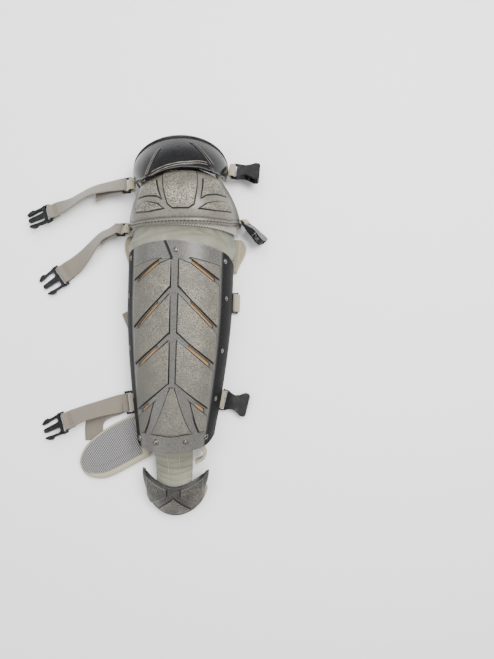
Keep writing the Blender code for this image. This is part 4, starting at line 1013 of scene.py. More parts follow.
def thigh_plate():
    angle, share = np.meshgrid(np.radians(np.linspace(-90, 90, 221)), np.linspace(0, 1, 91))
    x, y = np.sin(angle) * THIGH_HALF, share * 0.062
    ridges = np.zeros_like(x)
    for ridge in THIGH_RIDGES:
        start = (ridge.x0 * THIGH_HALF, ridge.y0 * 0.062)
        end = (ridge.x1 * THIGH_HALF, ridge.y1 * 0.062)
        reach = segment_distance(x, y, start, end)
        ridges = np.maximum(ridges, 1 - smooth_step((reach - 0.0002) / 0.0011))
    bosses = np.zeros_like(x)
    for side, place in THIGH_BOSSES:
        reach = np.hypot(x - side * THIGH_HALF, y - place * 0.062)
        bosses = np.maximum(bosses, 1 - smooth_step((reach - 0.002) / 0.002))
    rim = smooth_step((share - 0.945) / 0.02)
    lip = np.exp(-((share - 0.015) / 0.018) ** 2)
    valley = np.exp(-((share - 0.915) / 0.022) ** 2)
    height = (RIDGE_RISE * ridges + BOSS_RISE * bosses + THIGH_RIM * rim + LIP_RISE * lip
              - VALLEY_DROP * valley)
    outer = beneath(thigh_surface, angle, share, -height)
    inner = beneath(thigh_surface, angle, share, THIGH_WALL)
    crest = np.maximum(ridges, np.maximum(0.9 * lip, rim * smooth_step((share - 0.955) / 0.02)))
    masks = {"raised": np.clip(crest, 0, 1) * 0.98}
    plate = shell("thigh_plate_shown", outer, inner, MATERIALS["thigh"], masks, sharp=60)
    return declare(plate, "gloss_plastic", "thigh_plate")


def toe_plate():
    angle, share = np.meshgrid(np.radians(np.linspace(-90, 90, 141)), np.linspace(0, 1, 81))
    local = toe_surface(angle, share)
    x = (local[..., 0] - TOE_SHIFT) / TOE_HALF
    down = (TOE_TOP - local[..., 1]) / TOE_LENGTH
    peak = smooth_step((down - 0.53 - 0.55 * np.abs(x)) / 0.035)
    peak *= smooth_step((share - 0.05) / 0.03)
    wings = smooth_step((0.90 - share) / 0.03) * smooth_step((np.abs(x) - 0.20) / 0.05)
    wings *= smooth_step((0.43 + 0.40 * np.abs(x) - down) / 0.03)
    wings *= smooth_step((0.93 - np.abs(x)) / 0.05)
    raised = np.maximum(peak, wings)
    rim = np.exp(-((share - 0.965) / 0.016) ** 2) + 0.8 * np.exp(-((share - 0.915) / 0.014) ** 2)
    edge = np.exp(-((share - 0.02) / 0.02) ** 2)
    height = TOE_PANEL_RISE * raised + TOE_RIM_RISE * rim + TOE_LIP_RISE * edge
    outer = beneath(toe_surface, angle, share, -height)
    inner = beneath(toe_surface, angle, share, TOE_WALL)
    # Through the raised mask the rim's beads get painted shade on their flanks and a painted
    # highlight on top.
    masks = {"raised": np.clip(np.maximum(raised, 0.93 * rim), 0, 1), "dark": 0 * x,
             "speckle": np.clip(0.55 + 0.6 * peak, 0, 1)}
    plate = shell("toe_plate_shown", outer, inner, MATERIALS["toe"], masks, sharp=60)
    return declare(plate, "worn_plastic", "toe_plate")


# Soft parts

def grid_normals(points):
    across, along = np.gradient(points, axis=1), np.gradient(points, axis=0)
    normal = np.cross(across, along)
    normal /= np.maximum(1e-12, np.linalg.norm(normal, axis=-1, keepdims=True))
    return normal if normal[..., 2].mean() > 0 else -normal


def run_lengths(points, axis):
    steps = np.linalg.norm(np.diff(points, axis=axis), axis=-1)
    start = np.zeros_like(np.take(steps, [0], axis=axis))
    return np.cumsum(np.concatenate([start, steps], axis=axis), axis=axis)


def grid_reach(points):
    """How far each point of a grid lies from the sheet's border."""
    across, along = run_lengths(points, 1), run_lengths(points, 0)
    return np.minimum(np.minimum(across, across[:, -1:] - across),
                      np.minimum(along, along[-1:] - along))


def padding(name, outer, thickness, rounding, material, channels=None, masks=None, crown=0.25):
    """A padded sheet: full in the middle, rolled in at its border, dipped along channels."""
    normal, reach = grid_normals(outer), grid_reach(outer)
    full = np.sqrt(1 - (1 - np.clip(reach / rounding, 0, 1)) ** 2)
    depth = thickness * (0.10 + 0.90 * full)
    sink = thickness * crown * (1 - full)
    if channels is not None:
        depth = depth - 0.45 * thickness * channels * full
    face = outer - normal * sink[..., None]
    back = outer - normal * np.maximum(depth, sink + 0.0004)[..., None]
    uv = np.stack([run_lengths(outer, 1), run_lengths(outer, 0)], -1)
    return shell(name, face, back, material, masks, uv=uv, sharp=180, both=True)


def quilted(name, outer, seam_places, border, rounding):
    """A liner over an arch and its legs, sewn down along seams, with a border of cloth."""
    across = run_lengths(outer, 1)
    seams = [np.exp(-((across - across[:, -1:] / 2 - place) / SEAM_WIDTH) ** 2)
             for place in seam_places]
    rim = 1 - smooth_step((grid_reach(outer) - border) / 0.004)
    pad = padding(name + "_shown", outer, PAD_THICKNESS, rounding, MATERIALS["liner"],
                  np.max(seams, axis=0), {"rim": rim})
    return declare(pad, "liner_foam", name)


def shin_pad_top(side):
    return shin_top_edge(side) - SHIN_PAD_INSET * (1 - side * side) - 0.2 * SHIN_PAD_INSET


def shin_pad_bottom(side):
    return shin_bottom_edge(side) + SHIN_PAD_INSET * (1 - 0.6 * side * side)


def calf_notch(y):
    share = np.abs(y - CALF_NOTCH_PLACE) / CALF_NOTCH_HALF
    return CALF_NOTCH_HEIGHT * np.clip((1 - share) / 0.18, 0, 1)


def with_legs(points, floor):
    """Straight legs below both ends of each row of an arch, down to a level."""
    share = np.linspace(1, 0, 7)[:-1]
    sides = []
    for end in (points[:, 0], points[:, -1]):
        leg = np.repeat(end[:, None], len(share), axis=1)
        leg[..., 2] = end[:, None, 2] + (floor[:, None] - end[:, None, 2]) * share
        sides.append(leg)
    return np.concatenate([sides[0], points, sides[1][:, ::-1]], axis=1)


def shin_pad():
    low, high = shin_pad_bottom(1.0), shin_pad_top(1.0)
    angle = np.radians(np.linspace(-90, 90, 81))
    place = np.linspace(high, low, 150)[:, None]
    share = (high - place) / (high - low)
    side = np.sin(angle)[None]
    y = place + (1 - share) * (shin_pad_top(side) - high) + share * (shin_pad_bottom(side) - low)
    points = beneath(shin_surface, angle[None], y, PAD_DEPTH)
    outer = with_legs(points, calf_notch(place[:, 0]))
    return quilted("shin_pad", outer, (-0.085, -0.045, 0.0, 0.045, 0.085), 0.012, 0.007)


def knee_edge(side):
    return knee_row_y(KNEE_EDGE, side)


def knee_pad():
    angle = np.radians(np.linspace(-90, 90, 81))[None]
    share = np.linspace(0, 1, 50)[:, None]
    side = np.sin(angle)
    low = knee_edge(side) + KNEE_SEAM_INSET + 5 * GAP
    high = knee_row_y(KNEE_TOP, side) - 2 * GAP
    points = beneath(knee_surface, angle, low + (high - low) * share, KNEE_PAD_DEPTH)
    outer = with_legs(points, np.maximum(0.0, points[:, 0, 2] - FOOT))
    return quilted("knee_pad", outer, (-0.06, 0.0, 0.06), 0.010, 0.006)


def thigh_pad():
    angle = np.radians(np.linspace(-90, 90, 91))[None]
    share = np.linspace(0, 1, 40)[:, None]
    start = 0.45 + (-0.258 - 0.45) * np.sin(angle) ** 8
    points = beneath(thigh_surface, angle, start + (0.95 - start) * share, THIGH_WALL + 3 * GAP)
    pad = padding("thigh_pad_shown", points, THIGH_PAD, 0.005, MATERIALS["cream"])
    return declare(pad, "cream_fabric", "thigh_pad")


def toe_pad():
    depth = TOE_WALL + 3 * GAP
    angle = np.radians(np.linspace(-90, 90, 15))[1:-1]
    side = np.sin(angle)
    up = np.array([0.0, 0.0, 1.0])
    out = np.stack([side, -0.8 * np.cos(angle), 0 * side], -1)
    out /= np.linalg.norm(out, axis=-1, keepdims=True)
    edge = toe_surface(angle, 0 * angle)
    rim = TOE_PAD_RIM * (0.1 + 0.9 * np.maximum(0.0, side))
    top = [edge + out * rim[:, None] - up * 1.2 * TOE_WALL, edge - out * 0.6 * TOE_WALL
           - up * 1.4 * TOE_WALL]
    bottom = [top[0] - out * 0.001 - up * 0.7 * TOE_PAD,
              top[1] - out * 0.6 * TOE_PAD - up * 0.7 * TOE_PAD]
    last = 0.68 + 0.10 * np.abs(side) ** 3
    deep = depth + 5 * GAP * side ** 6
    for share in (0, 1 / 3, 2 / 3, 1):
        place = 0.12 + (last - 0.12) * share
        top.append(beneath(toe_surface, angle, place, deep))
        bottom.append(beneath(toe_surface, angle, place, deep + TOE_PAD))
    top, bottom = np.array(top), np.array(bottom)
    middle = (top + bottom) / 2
    top[0] += (middle[0] - top[0]) * 0.35
    bottom[0] += (middle[0] - bottom[0]) * 0.35
    uv = np.stack([run_lengths(top, 1), run_lengths(top, 0)], -1)
    pad = shell("toe_pad_shown", top, bottom, MATERIALS["cream"], uv=uv, sharp=180, both=True)
    smooth = pad.modifiers.new("smooth", "SUBSURF")
    smooth.levels = smooth.render_levels = 3
    return declare(pad, "cream_fabric", "toe_pad")


def knee_gusset():
    angle = np.radians(np.linspace(-90, 90, 181))[None]
    share = np.linspace(0, 1, 70)[:, None]
    side, level = np.sin(angle), np.maximum(0.0, np.cos(angle))
    start = beneath(shin_surface, angle, shin_pad_top(side) + GAP, PAD_DEPTH + GAP)
    high = knee_edge(side) + KNEE_SEAM_INSET - 2 * GAP
    end = beneath(knee_surface, angle, high, KNEE_PAD_DEPTH + MESH_THICKNESS + 2 * GAP)
    points = start + (end - start) * share[..., None]
    points[..., 2] -= GUSSET_DIP * level * np.sin(np.pi * share) ** 2
    swell = np.sin(np.pi * np.minimum(1.0, share / 0.7)) ** 2
    points[..., 0] += GUSSET_SIDE * swell * side ** 3
    points[..., 2] -= CREASE_DEPTH * gusset_creases(side, share) * np.sin(np.pi * share) ** 0.5
    sheet = padding("knee_gusset_shown", points, GUSSET_THICKNESS, 0.0025,
                    MATERIALS["leatherette"], masks={"dark": gusset_painted_shade(side, share)}, crown=0.1)
    return declare(sheet, "leatherette", "knee_gusset")


Crease = namedtuple("Crease", "x0 y0 x1 y1 width depth")
GUSSET_CREASES = (
    Crease(-0.62, 0.44, 0.20, 0.62, 0.030, 0.55), Crease(-0.20, 0.40, 0.66, 0.50, 0.035, 0.75),
    Crease(0.35, 0.62, 0.90, 0.36, 0.030, 0.8), Crease(0.60, 0.74, 0.86, 0.30, 0.030, 0.9),
    Crease(0.74, 0.80, 0.93, 0.34, 0.022, 0.8), Crease(0.84, 0.70, 0.97, 0.40, 0.018, 0.7),
    Crease(-0.95, 0.42, -0.60, 0.70, 0.030, 0.8), Crease(-0.88, 0.30, -0.45, 0.50, 0.028, 0.6),
)


def gusset_creases(side, share):
    side, share = np.broadcast_arrays(side, share)
    creases = np.zeros_like(side)
    for crease in GUSSET_CREASES:
        reach = segment_distance(side, share * 0.5, (crease.x0, crease.y0 * 0.5),
                                 (crease.x1, crease.y1 * 0.5))
        creases = np.maximum(creases, crease.depth * np.exp(-(reach / crease.width) ** 2))
    return creases


# Painted shade in the creases and along the gusset's side edges.
def gusset_painted_shade(side, share):
    side, share = np.broadcast_arrays(side, share)
    return np.clip(0.55 * gusset_creases(side, share) + 0.5 * (np.abs(side) > 0.985), 0, 1)


def knee_mesh():
    angle = np.radians(np.linspace(-90, 90, 181))[None]
    share = np.linspace(0, 1, 16)[:, None]
    side = np.sin(angle)
    low = -MESH_SHOW - math.sin(KNEE_TURN) * KNEE_HALF * side
    high = knee_edge(side) + 0.6 * KNEE_SEAM_INSET
    points = beneath(knee_surface, angle, low + (high - low) * share, KNEE_PAD_DEPTH)
    strip = padding("knee_mesh_shown", points, MESH_THICKNESS, 0.0012, MATERIALS["rib mesh"],
                    crown=0.2)
    return declare(strip, "mesh_fabric", "knee_mesh")


def toe_tab():
    top = shin_pad_bottom(0.0) - 4 * GAP
    top_height = shin_surface(0.0, top)[2] - PAD_DEPTH - 4 * GAP
    bottom = TOE_TOP - TOE_TOP_DIP - 0.006
    bottom_height = toe_surface(0.0, 0.89)[2] - 1.3 * TOE_WALL
    share, side = np.linspace(0, 1, 80)[:, None], np.linspace(-1, 1, 61)[None]
    sag = (0.012 - 0.005 * share) * side * side
    sink = 0.011 * np.sin(np.pi * share)
    x = TOE_SHIFT * share + TOE_TAB_HALF * (1 - 0.12 * share) * side
    start = shin_pad_bottom(x / shin_half(top)) - 4 * GAP
    y = start + (bottom - start) * share + 0.010 * share * side * side
    z = top_height + (bottom_height - top_height) * share - sag - sink
    folds = sum(fold.depth * np.exp(-((share - fold.place - fold.slant * side) / fold.width) ** 2)
                for fold in TAB_FOLDS)
    lines = np.exp(-((np.abs(side - 0.02) - 0.30) / 0.03) ** 2)
    z = z - FOLD_DEPTH * folds * np.sin(np.pi * share) - 0.0005 * lines
    points = np.stack([x, y, z], -1)
    # Painted shade in the folds and the sunk stitch lines.
    masks = {"dark": np.clip(0.6 * folds + 0.3 * lines, 0, 1)}
    tab = padding("toe_tab_shown", points, TOE_TAB_THICKNESS, 0.003, MATERIALS["leatherette"],
                  masks=masks, crown=0.15)
    for label, place in (("left", -0.28), ("right", 0.32)):
        column = int(round((place + 1) * 30))
        stitches("tab_stitches_" + label, points[2:-2, column] + [0, 0, 0.0002], 0.0026, 0.0036,
                 0.00035, MATERIALS["cream_thread"], "cream_fabric")
    return declare(tab, "leatherette", "toe_tab")


Fold = namedtuple("Fold", "place slant width depth")
TAB_FOLDS = (Fold(0.30, 0.03, 0.025, 0.8), Fold(0.42, -0.04, 0.02, 0.6), Fold(0.55, 0.02, 0.03, 0.9),
             Fold(0.68, -0.02, 0.022, 0.7), Fold(0.80, 0.03, 0.02, 0.6))


def stitches(name, path, length, pitch, radius, material, slot):
    """A row of small threads lying along a path, each bowed up at its middle."""
    path = np.asarray(path, float)
    steps = np.linalg.norm(np.diff(path, axis=0), axis=1)
    run = np.concatenate([[0], np.cumsum(steps)])
    sample = lambda place: np.stack([np.interp(place, run, path[:, axis]) for axis in range(3)], -1)
    points, faces = [], []
    for start in np.arange(0.3 * pitch, run[-1] - length, pitch):
        begin, finish = sample(start), sample(start + length)
        along = (finish - begin) / max(1e-9, np.linalg.norm(finish - begin))
        side = np.cross(along, (0.0, 0.0, 1.0))
        side /= max(1e-9, np.linalg.norm(side))
        rise = np.cross(side, along)
        base = len(points)
        for share, girth in ((0.0, 0.25), (0.2, 0.85), (0.5, 1.0), (0.8, 0.85), (1.0, 0.25)):
            middle = begin + (finish - begin) * share + rise * radius * (1.1 * girth - 0.5)
            for turn in range(6):
                angle = math.pi / 3 * turn
                points.append(middle + radius * girth * (side * math.cos(angle)
                                                         + rise * math.sin(angle)))
        for ring in range(4):
            for turn in range(6):
                a, b = base + 6 * ring + turn, base + 6 * ring + (turn + 1) % 6
                faces.append([a, b, b + 6, a + 6])
        faces.append([base + turn for turn in range(5, -1, -1)])
        faces.append([base + 24 + turn for turn in range(6)])
    return declare(new_object(name, points, faces, material, sharp=180), slot)


# Flat soft pieces with a rolled border

def catmull(points, steps, closed=False):
    """A smooth line through points, as an array."""
    points = np.asarray(points, float)
    count = len(points)
    line = []
    for index in range(count if closed else count - 1):
        if closed:
            a, b, c, d = (points[(index + k) % count] for k in (-1, 0, 1, 2))
        else:
            a, b, c, d = (points[min(max(index + k, 0), count - 1)] for k in (-1, 0, 1, 2))
        for step in range(steps):
            t = step / steps
            line.append(0.5 * (2 * b + (c - a) * t + (2 * a - 5 * b + 4 * c - d) * t * t
                               + (3 * b - a - 3 * c + d) * t ** 3))
    if not closed:
        line.append(points[-1])
    return np.array(line)


def outline_distance(points, outline):
    best = np.full(len(points), 9.0)
    nearest = np.zeros(len(points), int)
    for index in range(len(outline)):
        start, end = outline[index], outline[(index + 1) % len(outline)]
        if np.allclose(start, end):
            continue
        reach = segment_distance(points[:, 0], points[:, 1], start, end)
        nearest = np.where(reach < best, index, nearest)
        best = np.minimum(best, reach)
    return best, nearest


def flat_mesh(name, outline, low, thickness, voxel):
    """An even mesh of a flat extruded outline, in the guard's frame."""
    shape = bmesh.new()
    verts = [shape.verts.new((x, y, low)) for x, y in outline]
    face = shape.faces.new(verts)
    made = bmesh.ops.extrude_face_region(shape, geom=[face])
    bmesh.ops.translate(shape, vec=(0, 0, thickness),
                        verts=[item for item in made["geom"] if isinstance(item, bmesh.types.BMVert)])
    bmesh.ops.recalc_face_normals(shape, faces=shape.faces)
    mesh = bpy.data.meshes.new(name)
    shape.to_mesh(mesh)
    shape.free()
    obj = bpy.data.objects.new(name, mesh)
    bpy.context.scene.collection.objects.link(obj)
    remesh = obj.modifiers.new("remesh", "REMESH")
    remesh.mode = "VOXEL"
    remesh.voxel_size = voxel
    even = bpy.data.meshes.new_from_object(
        obj.evaluated_get(bpy.context.evaluated_depsgraph_get()))
    obj.modifiers.clear()
    obj.data = even
    return obj


def cushion(name, outline, low, thickness, rounding, voxel):
    """A flat pad whose faces crown over its middle and roll in round its outline."""
    outline = np.asarray(outline)
    obj = flat_mesh(name, outline, low, thickness, voxel)
    mesh = obj.data
    count = len(mesh.vertices)
    points = np.empty(count * 3)
    mesh.vertices.foreach_get("co", points)
    points = points.reshape(-1, 3)
    reach = outline_distance(points[:, :2], outline)[0]
    middle = low + thickness / 2
    side = np.clip((points[:, 2] - middle) / (thickness / 2), -1, 1)
    full = np.sqrt(np.clip(1 - (1 - np.clip(reach / rounding, 0, 1)) ** 2, 0, 1))
    wave = np.sin(points[:, 0] * 190 + 1.3) * np.sin(points[:, 1] * 150 + 0.4)
    height = thickness / 2 * (0.12 + 0.88 * full) - CUSHION_LUMP * (0.5 + 0.5 * wave) * full
    points[:, 2] = middle + side * height
    return obj, points, side


def finish_cushion(obj, points, material, masks):
    mesh = obj.data
    mesh.vertices.foreach_set("co", (points + np.array(SHIFT)).ravel())
    mesh.update()
    set_masks(mesh, masks)
    set_uv(mesh, points[:, :2])
    mesh.shade_smooth()
    mesh.materials.clear()
    mesh.materials.append(material)
    relax = obj.modifiers.new("relax", "SMOOTH")
    relax.factor = 0.5
    relax.iterations = 3
    return obj


def pad_wall(y):
    return shin_half(y) - PAD_DEPTH


WING_OUTLINE = (
    (0.014, 0.0), (0.28, 0.105), (0.61, 0.28), (0.884, 0.493), (1.0, 0.704), (0.975, 0.85),
    (0.864, 0.958), (0.6625, 1.0), (0.477, 0.97), (0.2385, 0.865), (-0.043, 0.722),
    (-0.21, 0.643),
)
SIDE_PAD_OUTLINE = ((0.0, 0.25), (0.25, 0.5), (0.5, 0.86), (0.75, 1.0), (0.93, 0.75), (1.0, 0.45))


def ankle_wing():
    top = SHIN_TOP - WING_PLACE * SHIN_LENGTH
    root = -pad_wall(top)
    route = [(root - WING_REACH * out, top - WING_LENGTH * down) for out, down in WING_OUTLINE]
    outer = catmull(route, 6)
    low = shin_pad_bottom(-1.0)
    corner = -pad_wall(low) - 2 * GAP
    inner = [(outer[-1][0], low - 0.018), (corner, low - 0.011)]
    inner += [(-pad_wall(y) - 2 * GAP, y) for y in np.linspace(low, top, 6)]
    outline = np.concatenate([outer, np.array(inner)])
    level = WEBBING_THICKNESS + 2 * GAP
    obj, points, side = cushion("ankle_wing_shown", outline, level, WING_THICKNESS, 0.006, 0.0016)
    rim_reach, place = outline_distance(points[:, :2], outer)
    far = place / len(outer)
    width = 0.0028 + 0.0070 * smooth_step((far - 0.45) / 0.2)
    binding = 1 - smooth_step((rim_reach - width) / 0.0012)
    groove = np.exp(-((rim_reach - width - 0.0006) / 0.0010) ** 2)
    line = np.exp(-((rim_reach - width - 0.0125) / 0.0014) ** 2) * smooth_step((far - 0.5) / 0.1)
    sink = WING_GROOVE * groove + WING_LINE * line
    points[:, 2] -= np.sign(side) * sink * np.abs(side)
    # Painted shade in the sunk groove and the sunk line.
    masks = {"rim": binding, "dark": np.clip(0.7 * groove + 0.45 * line, 0, 1)}
    wing = finish_cushion(obj, points, MATERIALS["wing mesh"], masks)
    declare(wing, "mesh_fabric", "ankle_wing")
    inset = inset_path(outer, 0.0085)[int(0.5 * len(outer)):]
    height = level + WING_THICKNESS * 0.93
    path = np.column_stack([inset, np.full(len(inset), height)])
    stitches("wing_stitches", path, 0.0024, 0.0034, 0.00032, MATERIALS["cream_thread"],
             "cream_fabric")
    return wing


def inset_path(outline, amount):
    """A line moved sideways, towards the right-hand side of its direction."""
    direction = np.gradient(outline, axis=0)
    direction /= np.maximum(1e-9, np.linalg.norm(direction, axis=1, keepdims=True))
    return outline + amount * np.stack([-direction[:, 1], direction[:, 0]], -1)


def side_pad(name, direction, reach):
    start = shin_pad_top(1.0) - 0.010
    outer, inner = [], []
    for along, out in SIDE_PAD_OUTLINE:
        y = start + SIDE_PAD_LENGTH * along
        wall = pad_wall(y) + 2 * GAP
        outer.append((direction * (wall + 0.0045 + reach * out), y))
        inner.append((direction * wall, y))
    rim = catmull(outer, 6)
    outline = np.concatenate([rim, np.array(inner[::-1])])
    obj, points, side = cushion(name + "_shown", outline, GAP, SIDE_PAD_THICKNESS, 0.006, 0.0014)
    rim_reach = outline_distance(points[:, :2], rim)[0]
    seam = np.exp(-((rim_reach - 0.0038) / 0.0008) ** 2)
    points[:, 2] -= np.sign(side) * SIDE_PAD_SEAM * seam * np.abs(side)
    # Painted shade in the sunk seam.
    pad = finish_cushion(obj, points, MATERIALS["cream"], {"dark": 0.6 * seam})
    return declare(pad, "cream_fabric", name)


ROLL_ROUTE = ((0.0, 0.0), (0.55, 0.03), (0.9, -0.25), (0.98, -0.6), (0.78, -0.95), (0.3, -1.2))


def ankle_roll():
    y = shin_bottom_edge(0.5) - 0.001
    x = 0.50 * SHIN_BOTTOM_HALF
    route = [(x + ROLL_REACH * out, y + ROLL_REACH * along) for out, along in ROLL_ROUTE]
    middle = TOE_TIP_HEIGHT + ROLL_HEIGHT / 2 - 0.0045
    stations = [(Vector((px, py, middle)), Vector((0, 0, 1))) for px, py in catmull(route, 2)]
    roll = ribbon("ankle_roll_shown", stations, ROLL_HEIGHT, ROLL_THICKNESS, MATERIALS["cream"],
                  bow=0.0006)
    return declare(roll, "cream_fabric", "ankle_roll")


# Webbing

def ribbon(name, stations, width, thickness, material, closed=False, steps=3, bow=0.00015):
    """Woven webbing with rounded edges through stations of a middle and an across."""
    middles = catmull([tuple(middle) for middle, _ in stations], steps, closed)
    acrosses = catmull([tuple(across) for _, across in stations], steps, closed)
    acrosses /= np.linalg.norm(acrosses, axis=1, keepdims=True)
    if closed:
        along = np.roll(middles, -1, axis=0) - np.roll(middles, 1, axis=0)
    else:
        along = np.gradient(middles, axis=0)
    along /= np.linalg.norm(along, axis=1, keepdims=True)
    acrosses -= along * np.sum(along * acrosses, axis=1, keepdims=True)
    acrosses /= np.linalg.norm(acrosses, axis=1, keepdims=True)
    lifts = np.cross(along, acrosses)
    radius = 0.48 * thickness
    profile = []
    for turn in np.radians([60, 25, 0, -25, -60]):
        profile.append((width / 2 - radius + radius * math.cos(turn),
                        radius * math.sin(turn)))
    spread = np.linspace(0.5, -0.5, 11)[1:-1]
    bottom = [(share * (width - 2 * radius), -thickness / 2) for share in spread]
    top = [(a, -b) for a, b in reversed(bottom)]
    left = [(-a, -b) for a, b in profile]
    loop = profile + bottom + left + top
    a = np.array([place for place, _ in loop])
    b = np.array([height for _, height in loop])
    b = b * (1 + bow / thickness * (1 - (2 * a / width) ** 2))
    points = (middles[:, None] + acrosses[:, None] * a[None, :, None]
              + lifts[:, None] * b[None, :, None])
    count, ring = points.shape[:2]
    faces = []
    for i in range(count if closed else count - 1):
        for j in range(ring):
            near, far = i * ring, ((i + 1) % count) * ring
            faces.append([near + j, near + (j + 1) % ring, far + (j + 1) % ring, far + j])
    if not closed:
        faces.append(list(range(ring - 1, -1, -1)))
        faces.append([(count - 1) * ring + j for j in range(ring)])
    length = np.concatenate([[0], np.cumsum(np.linalg.norm(np.diff(middles, axis=0), axis=1))])
    uv = np.stack([np.broadcast_to(a, (count, ring)),
                   np.broadcast_to(length[:, None], (count, ring))], -1).reshape(-1, 2)
    obj = new_object(name, points, faces, material, uv=uv, sharp=180)
    outward(obj)
    return obj


def frame_at(x, y, z, heading, roll, pitch=0.0):
    """A frame with X along a heading, rolled about X and then pitched about its own Y."""
    return (Matrix.Translation((x, y, z)) @ Matrix.Rotation(heading, 4, "Z")
            @ Matrix.Rotation(roll, 4, "X") @ Matrix.Rotation(pitch, 4, "Y"))


def round_bar(x, degrees, turn=1):
    """A point of the webbing's middle as it turns round a bar at x."""
    angle = math.radians(degrees)
    return Vector((x + turn * BAR_TURN * math.cos(angle), 0, BAR_TURN * math.sin(angle)))


def webbing_loop(name, frame, near, far):
    across = frame.to_3x3() @ Vector((0, 1, 0))
    turn = 1 if near > far else -1
    stations = []
    for middle, start in ((near, -90), (far, 90)):
        for step in range(5):
            stations.append((frame @ round_bar(middle, start + 45 * step, turn), across))
    loop = ribbon(name + "_shown", stations, WEBBING_WIDTH - 0.001, WEBBING_THICKNESS,
                  MATERIALS["cream"], True)
    return declare(loop, "cream_fabric", name)


RoutePoint = namedtuple("RoutePoint", "out along height roll")
THIGH_ROUTE = (
    RoutePoint(0.22, -0.018, 0.70, 42), RoutePoint(0.45, -0.075, 0.63, 48),
    RoutePoint(0.62, -0.165, 0.56, 49), RoutePoint(0.75, -0.245, 0.49, 43),
    RoutePoint(1.0, -0.365, 0.40, 28),
)
THIGH_TAIL = (RoutePoint(0.24, -0.055, 0.48, 38), RoutePoint(0.42, -0.13, 0.37, 36))
KNEE_ROUTE = (
    RoutePoint(0.22, -0.045, 0.56, 51), RoutePoint(0.36, -0.12, 0.52, 50),
    RoutePoint(0.50, -0.28, 0.45, 42), RoutePoint(0.64, -0.45, 0.35, 29),
    RoutePoint(0.78, -0.59, 0.26, 12), RoutePoint(1.0, -0.76, 0.20, 4),
)
KNEE_TAIL = (RoutePoint(0.24, -0.085, 0.46, 50), RoutePoint(0.38, -0.19, 0.40, 46))
ANKLE_ROUTE = (
    RoutePoint(0.16, -0.025, 0.42, 16), RoutePoint(0.40, -0.09, 0.50, 34),
    RoutePoint(0.66, -0.175, 0.47, 37), RoutePoint(0.80, -0.235, 0.43, 33),
    RoutePoint(1.0, -0.34, 0.39, 25),
)
ANKLE_TAIL = (
    RoutePoint(0.22, -0.08, 0.21, 14), RoutePoint(0.36, -0.14, 0.24, 22),
    RoutePoint(0.48, -0.22, 0.13, 8), RoutePoint(0.56, -0.34, 0.05, 0),
    RoutePoint(0.57, -0.50, 0.045, 0), RoutePoint(0.56, -0.63, 0.045, 0),
)
CALF_ROUTE = (
    RoutePoint(0.14, 0.07, 0.05, 0), RoutePoint(0.33, 0.08, 0.05, 0),
    RoutePoint(0.50, -0.02, 0.05, 0), RoutePoint(0.64, -0.24, 0.06, 0),
    RoutePoint(0.71, -0.52, 0.10, 0), RoutePoint(0.73, -0.72, 0.155, 0),
)
CALF_REACH = 0.135
CALF_FOLD_REACH = 0.016
CALF_FOLD_HEIGHT = 0.0075
CALF_HEADING = math.radians(205)


def run_stations(route):
    """Stations along (x, y, z, roll) points, lying across the plan heading."""
    stations = []
    for index, point in enumerate(route):
        before, after = route[max(index - 1, 0)], route[min(index + 1, len(route) - 1)]
        heading = math.atan2(after[1] - before[1], after[0] - before[0])
        turn = Matrix.Rotation(heading, 3, "Z") @ Matrix.Rotation(point[3], 3, "X")
        stations.append((Vector(point[:3]), turn @ Vector((0, 1, 0))))
    return stations


def route_points(start, reach, route):
    return [(start.x - reach * point.out, start.y + abs(reach) * point.along,
             WEBBING_WIDTH * point.height, math.radians(point.roll)) for point in route]


def buckle_wrap(frame):
    across = frame.to_3x3() @ Vector((0, 1, 0))
    low = WEBBING_THICKNESS / 2 + GAP
    start = [Vector((x, 0, z)) for x, z in ((-SEWN_END, low), (-0.006, low), (-0.001, BAR_TURN))]
    bend = [round_bar(0, angle) for angle in (60, 20, -20, -60)]
    back = [Vector((point.x, 0, -point.z)) for point in reversed(start)]
    return [(frame @ point, across) for point in start + bend + back]


def end_at_buckle(route):
    """A buckle's frame at a route's end, and the wrap that the route then runs into."""
    last, before = Vector(route[-1][:3]), Vector(route[-2][:3])
    roll = route[-1][3]
    buckle = frame_at(*last, math.atan2(last.y - before.y, last.x - before.x), roll)
    ending = buckle_wrap(buckle)
    route[-1] = (*ending[0][0], roll)
    return buckle, ending


def sewn_rows(name, frame):
    """Two rows of thread across the webbing behind a buckle's bar."""
    up = frame.to_3x3() @ Vector((0, 0, 1))
    flip = 1 if up.z > 0 else -1
    height = flip * (WEBBING_THICKNESS + GAP + 0.0001)
    for label, x in (("near", -0.0085), ("far", -0.0122)):
        path = [tuple(frame @ Vector((x, y, height))) for y in np.linspace(-0.0128, 0.0128, 9)]
        stitches(f"{name}_{label}_stitches", path, 0.0022, 0.0030, 0.0003,
                 MATERIALS["black_thread"], "webbing")


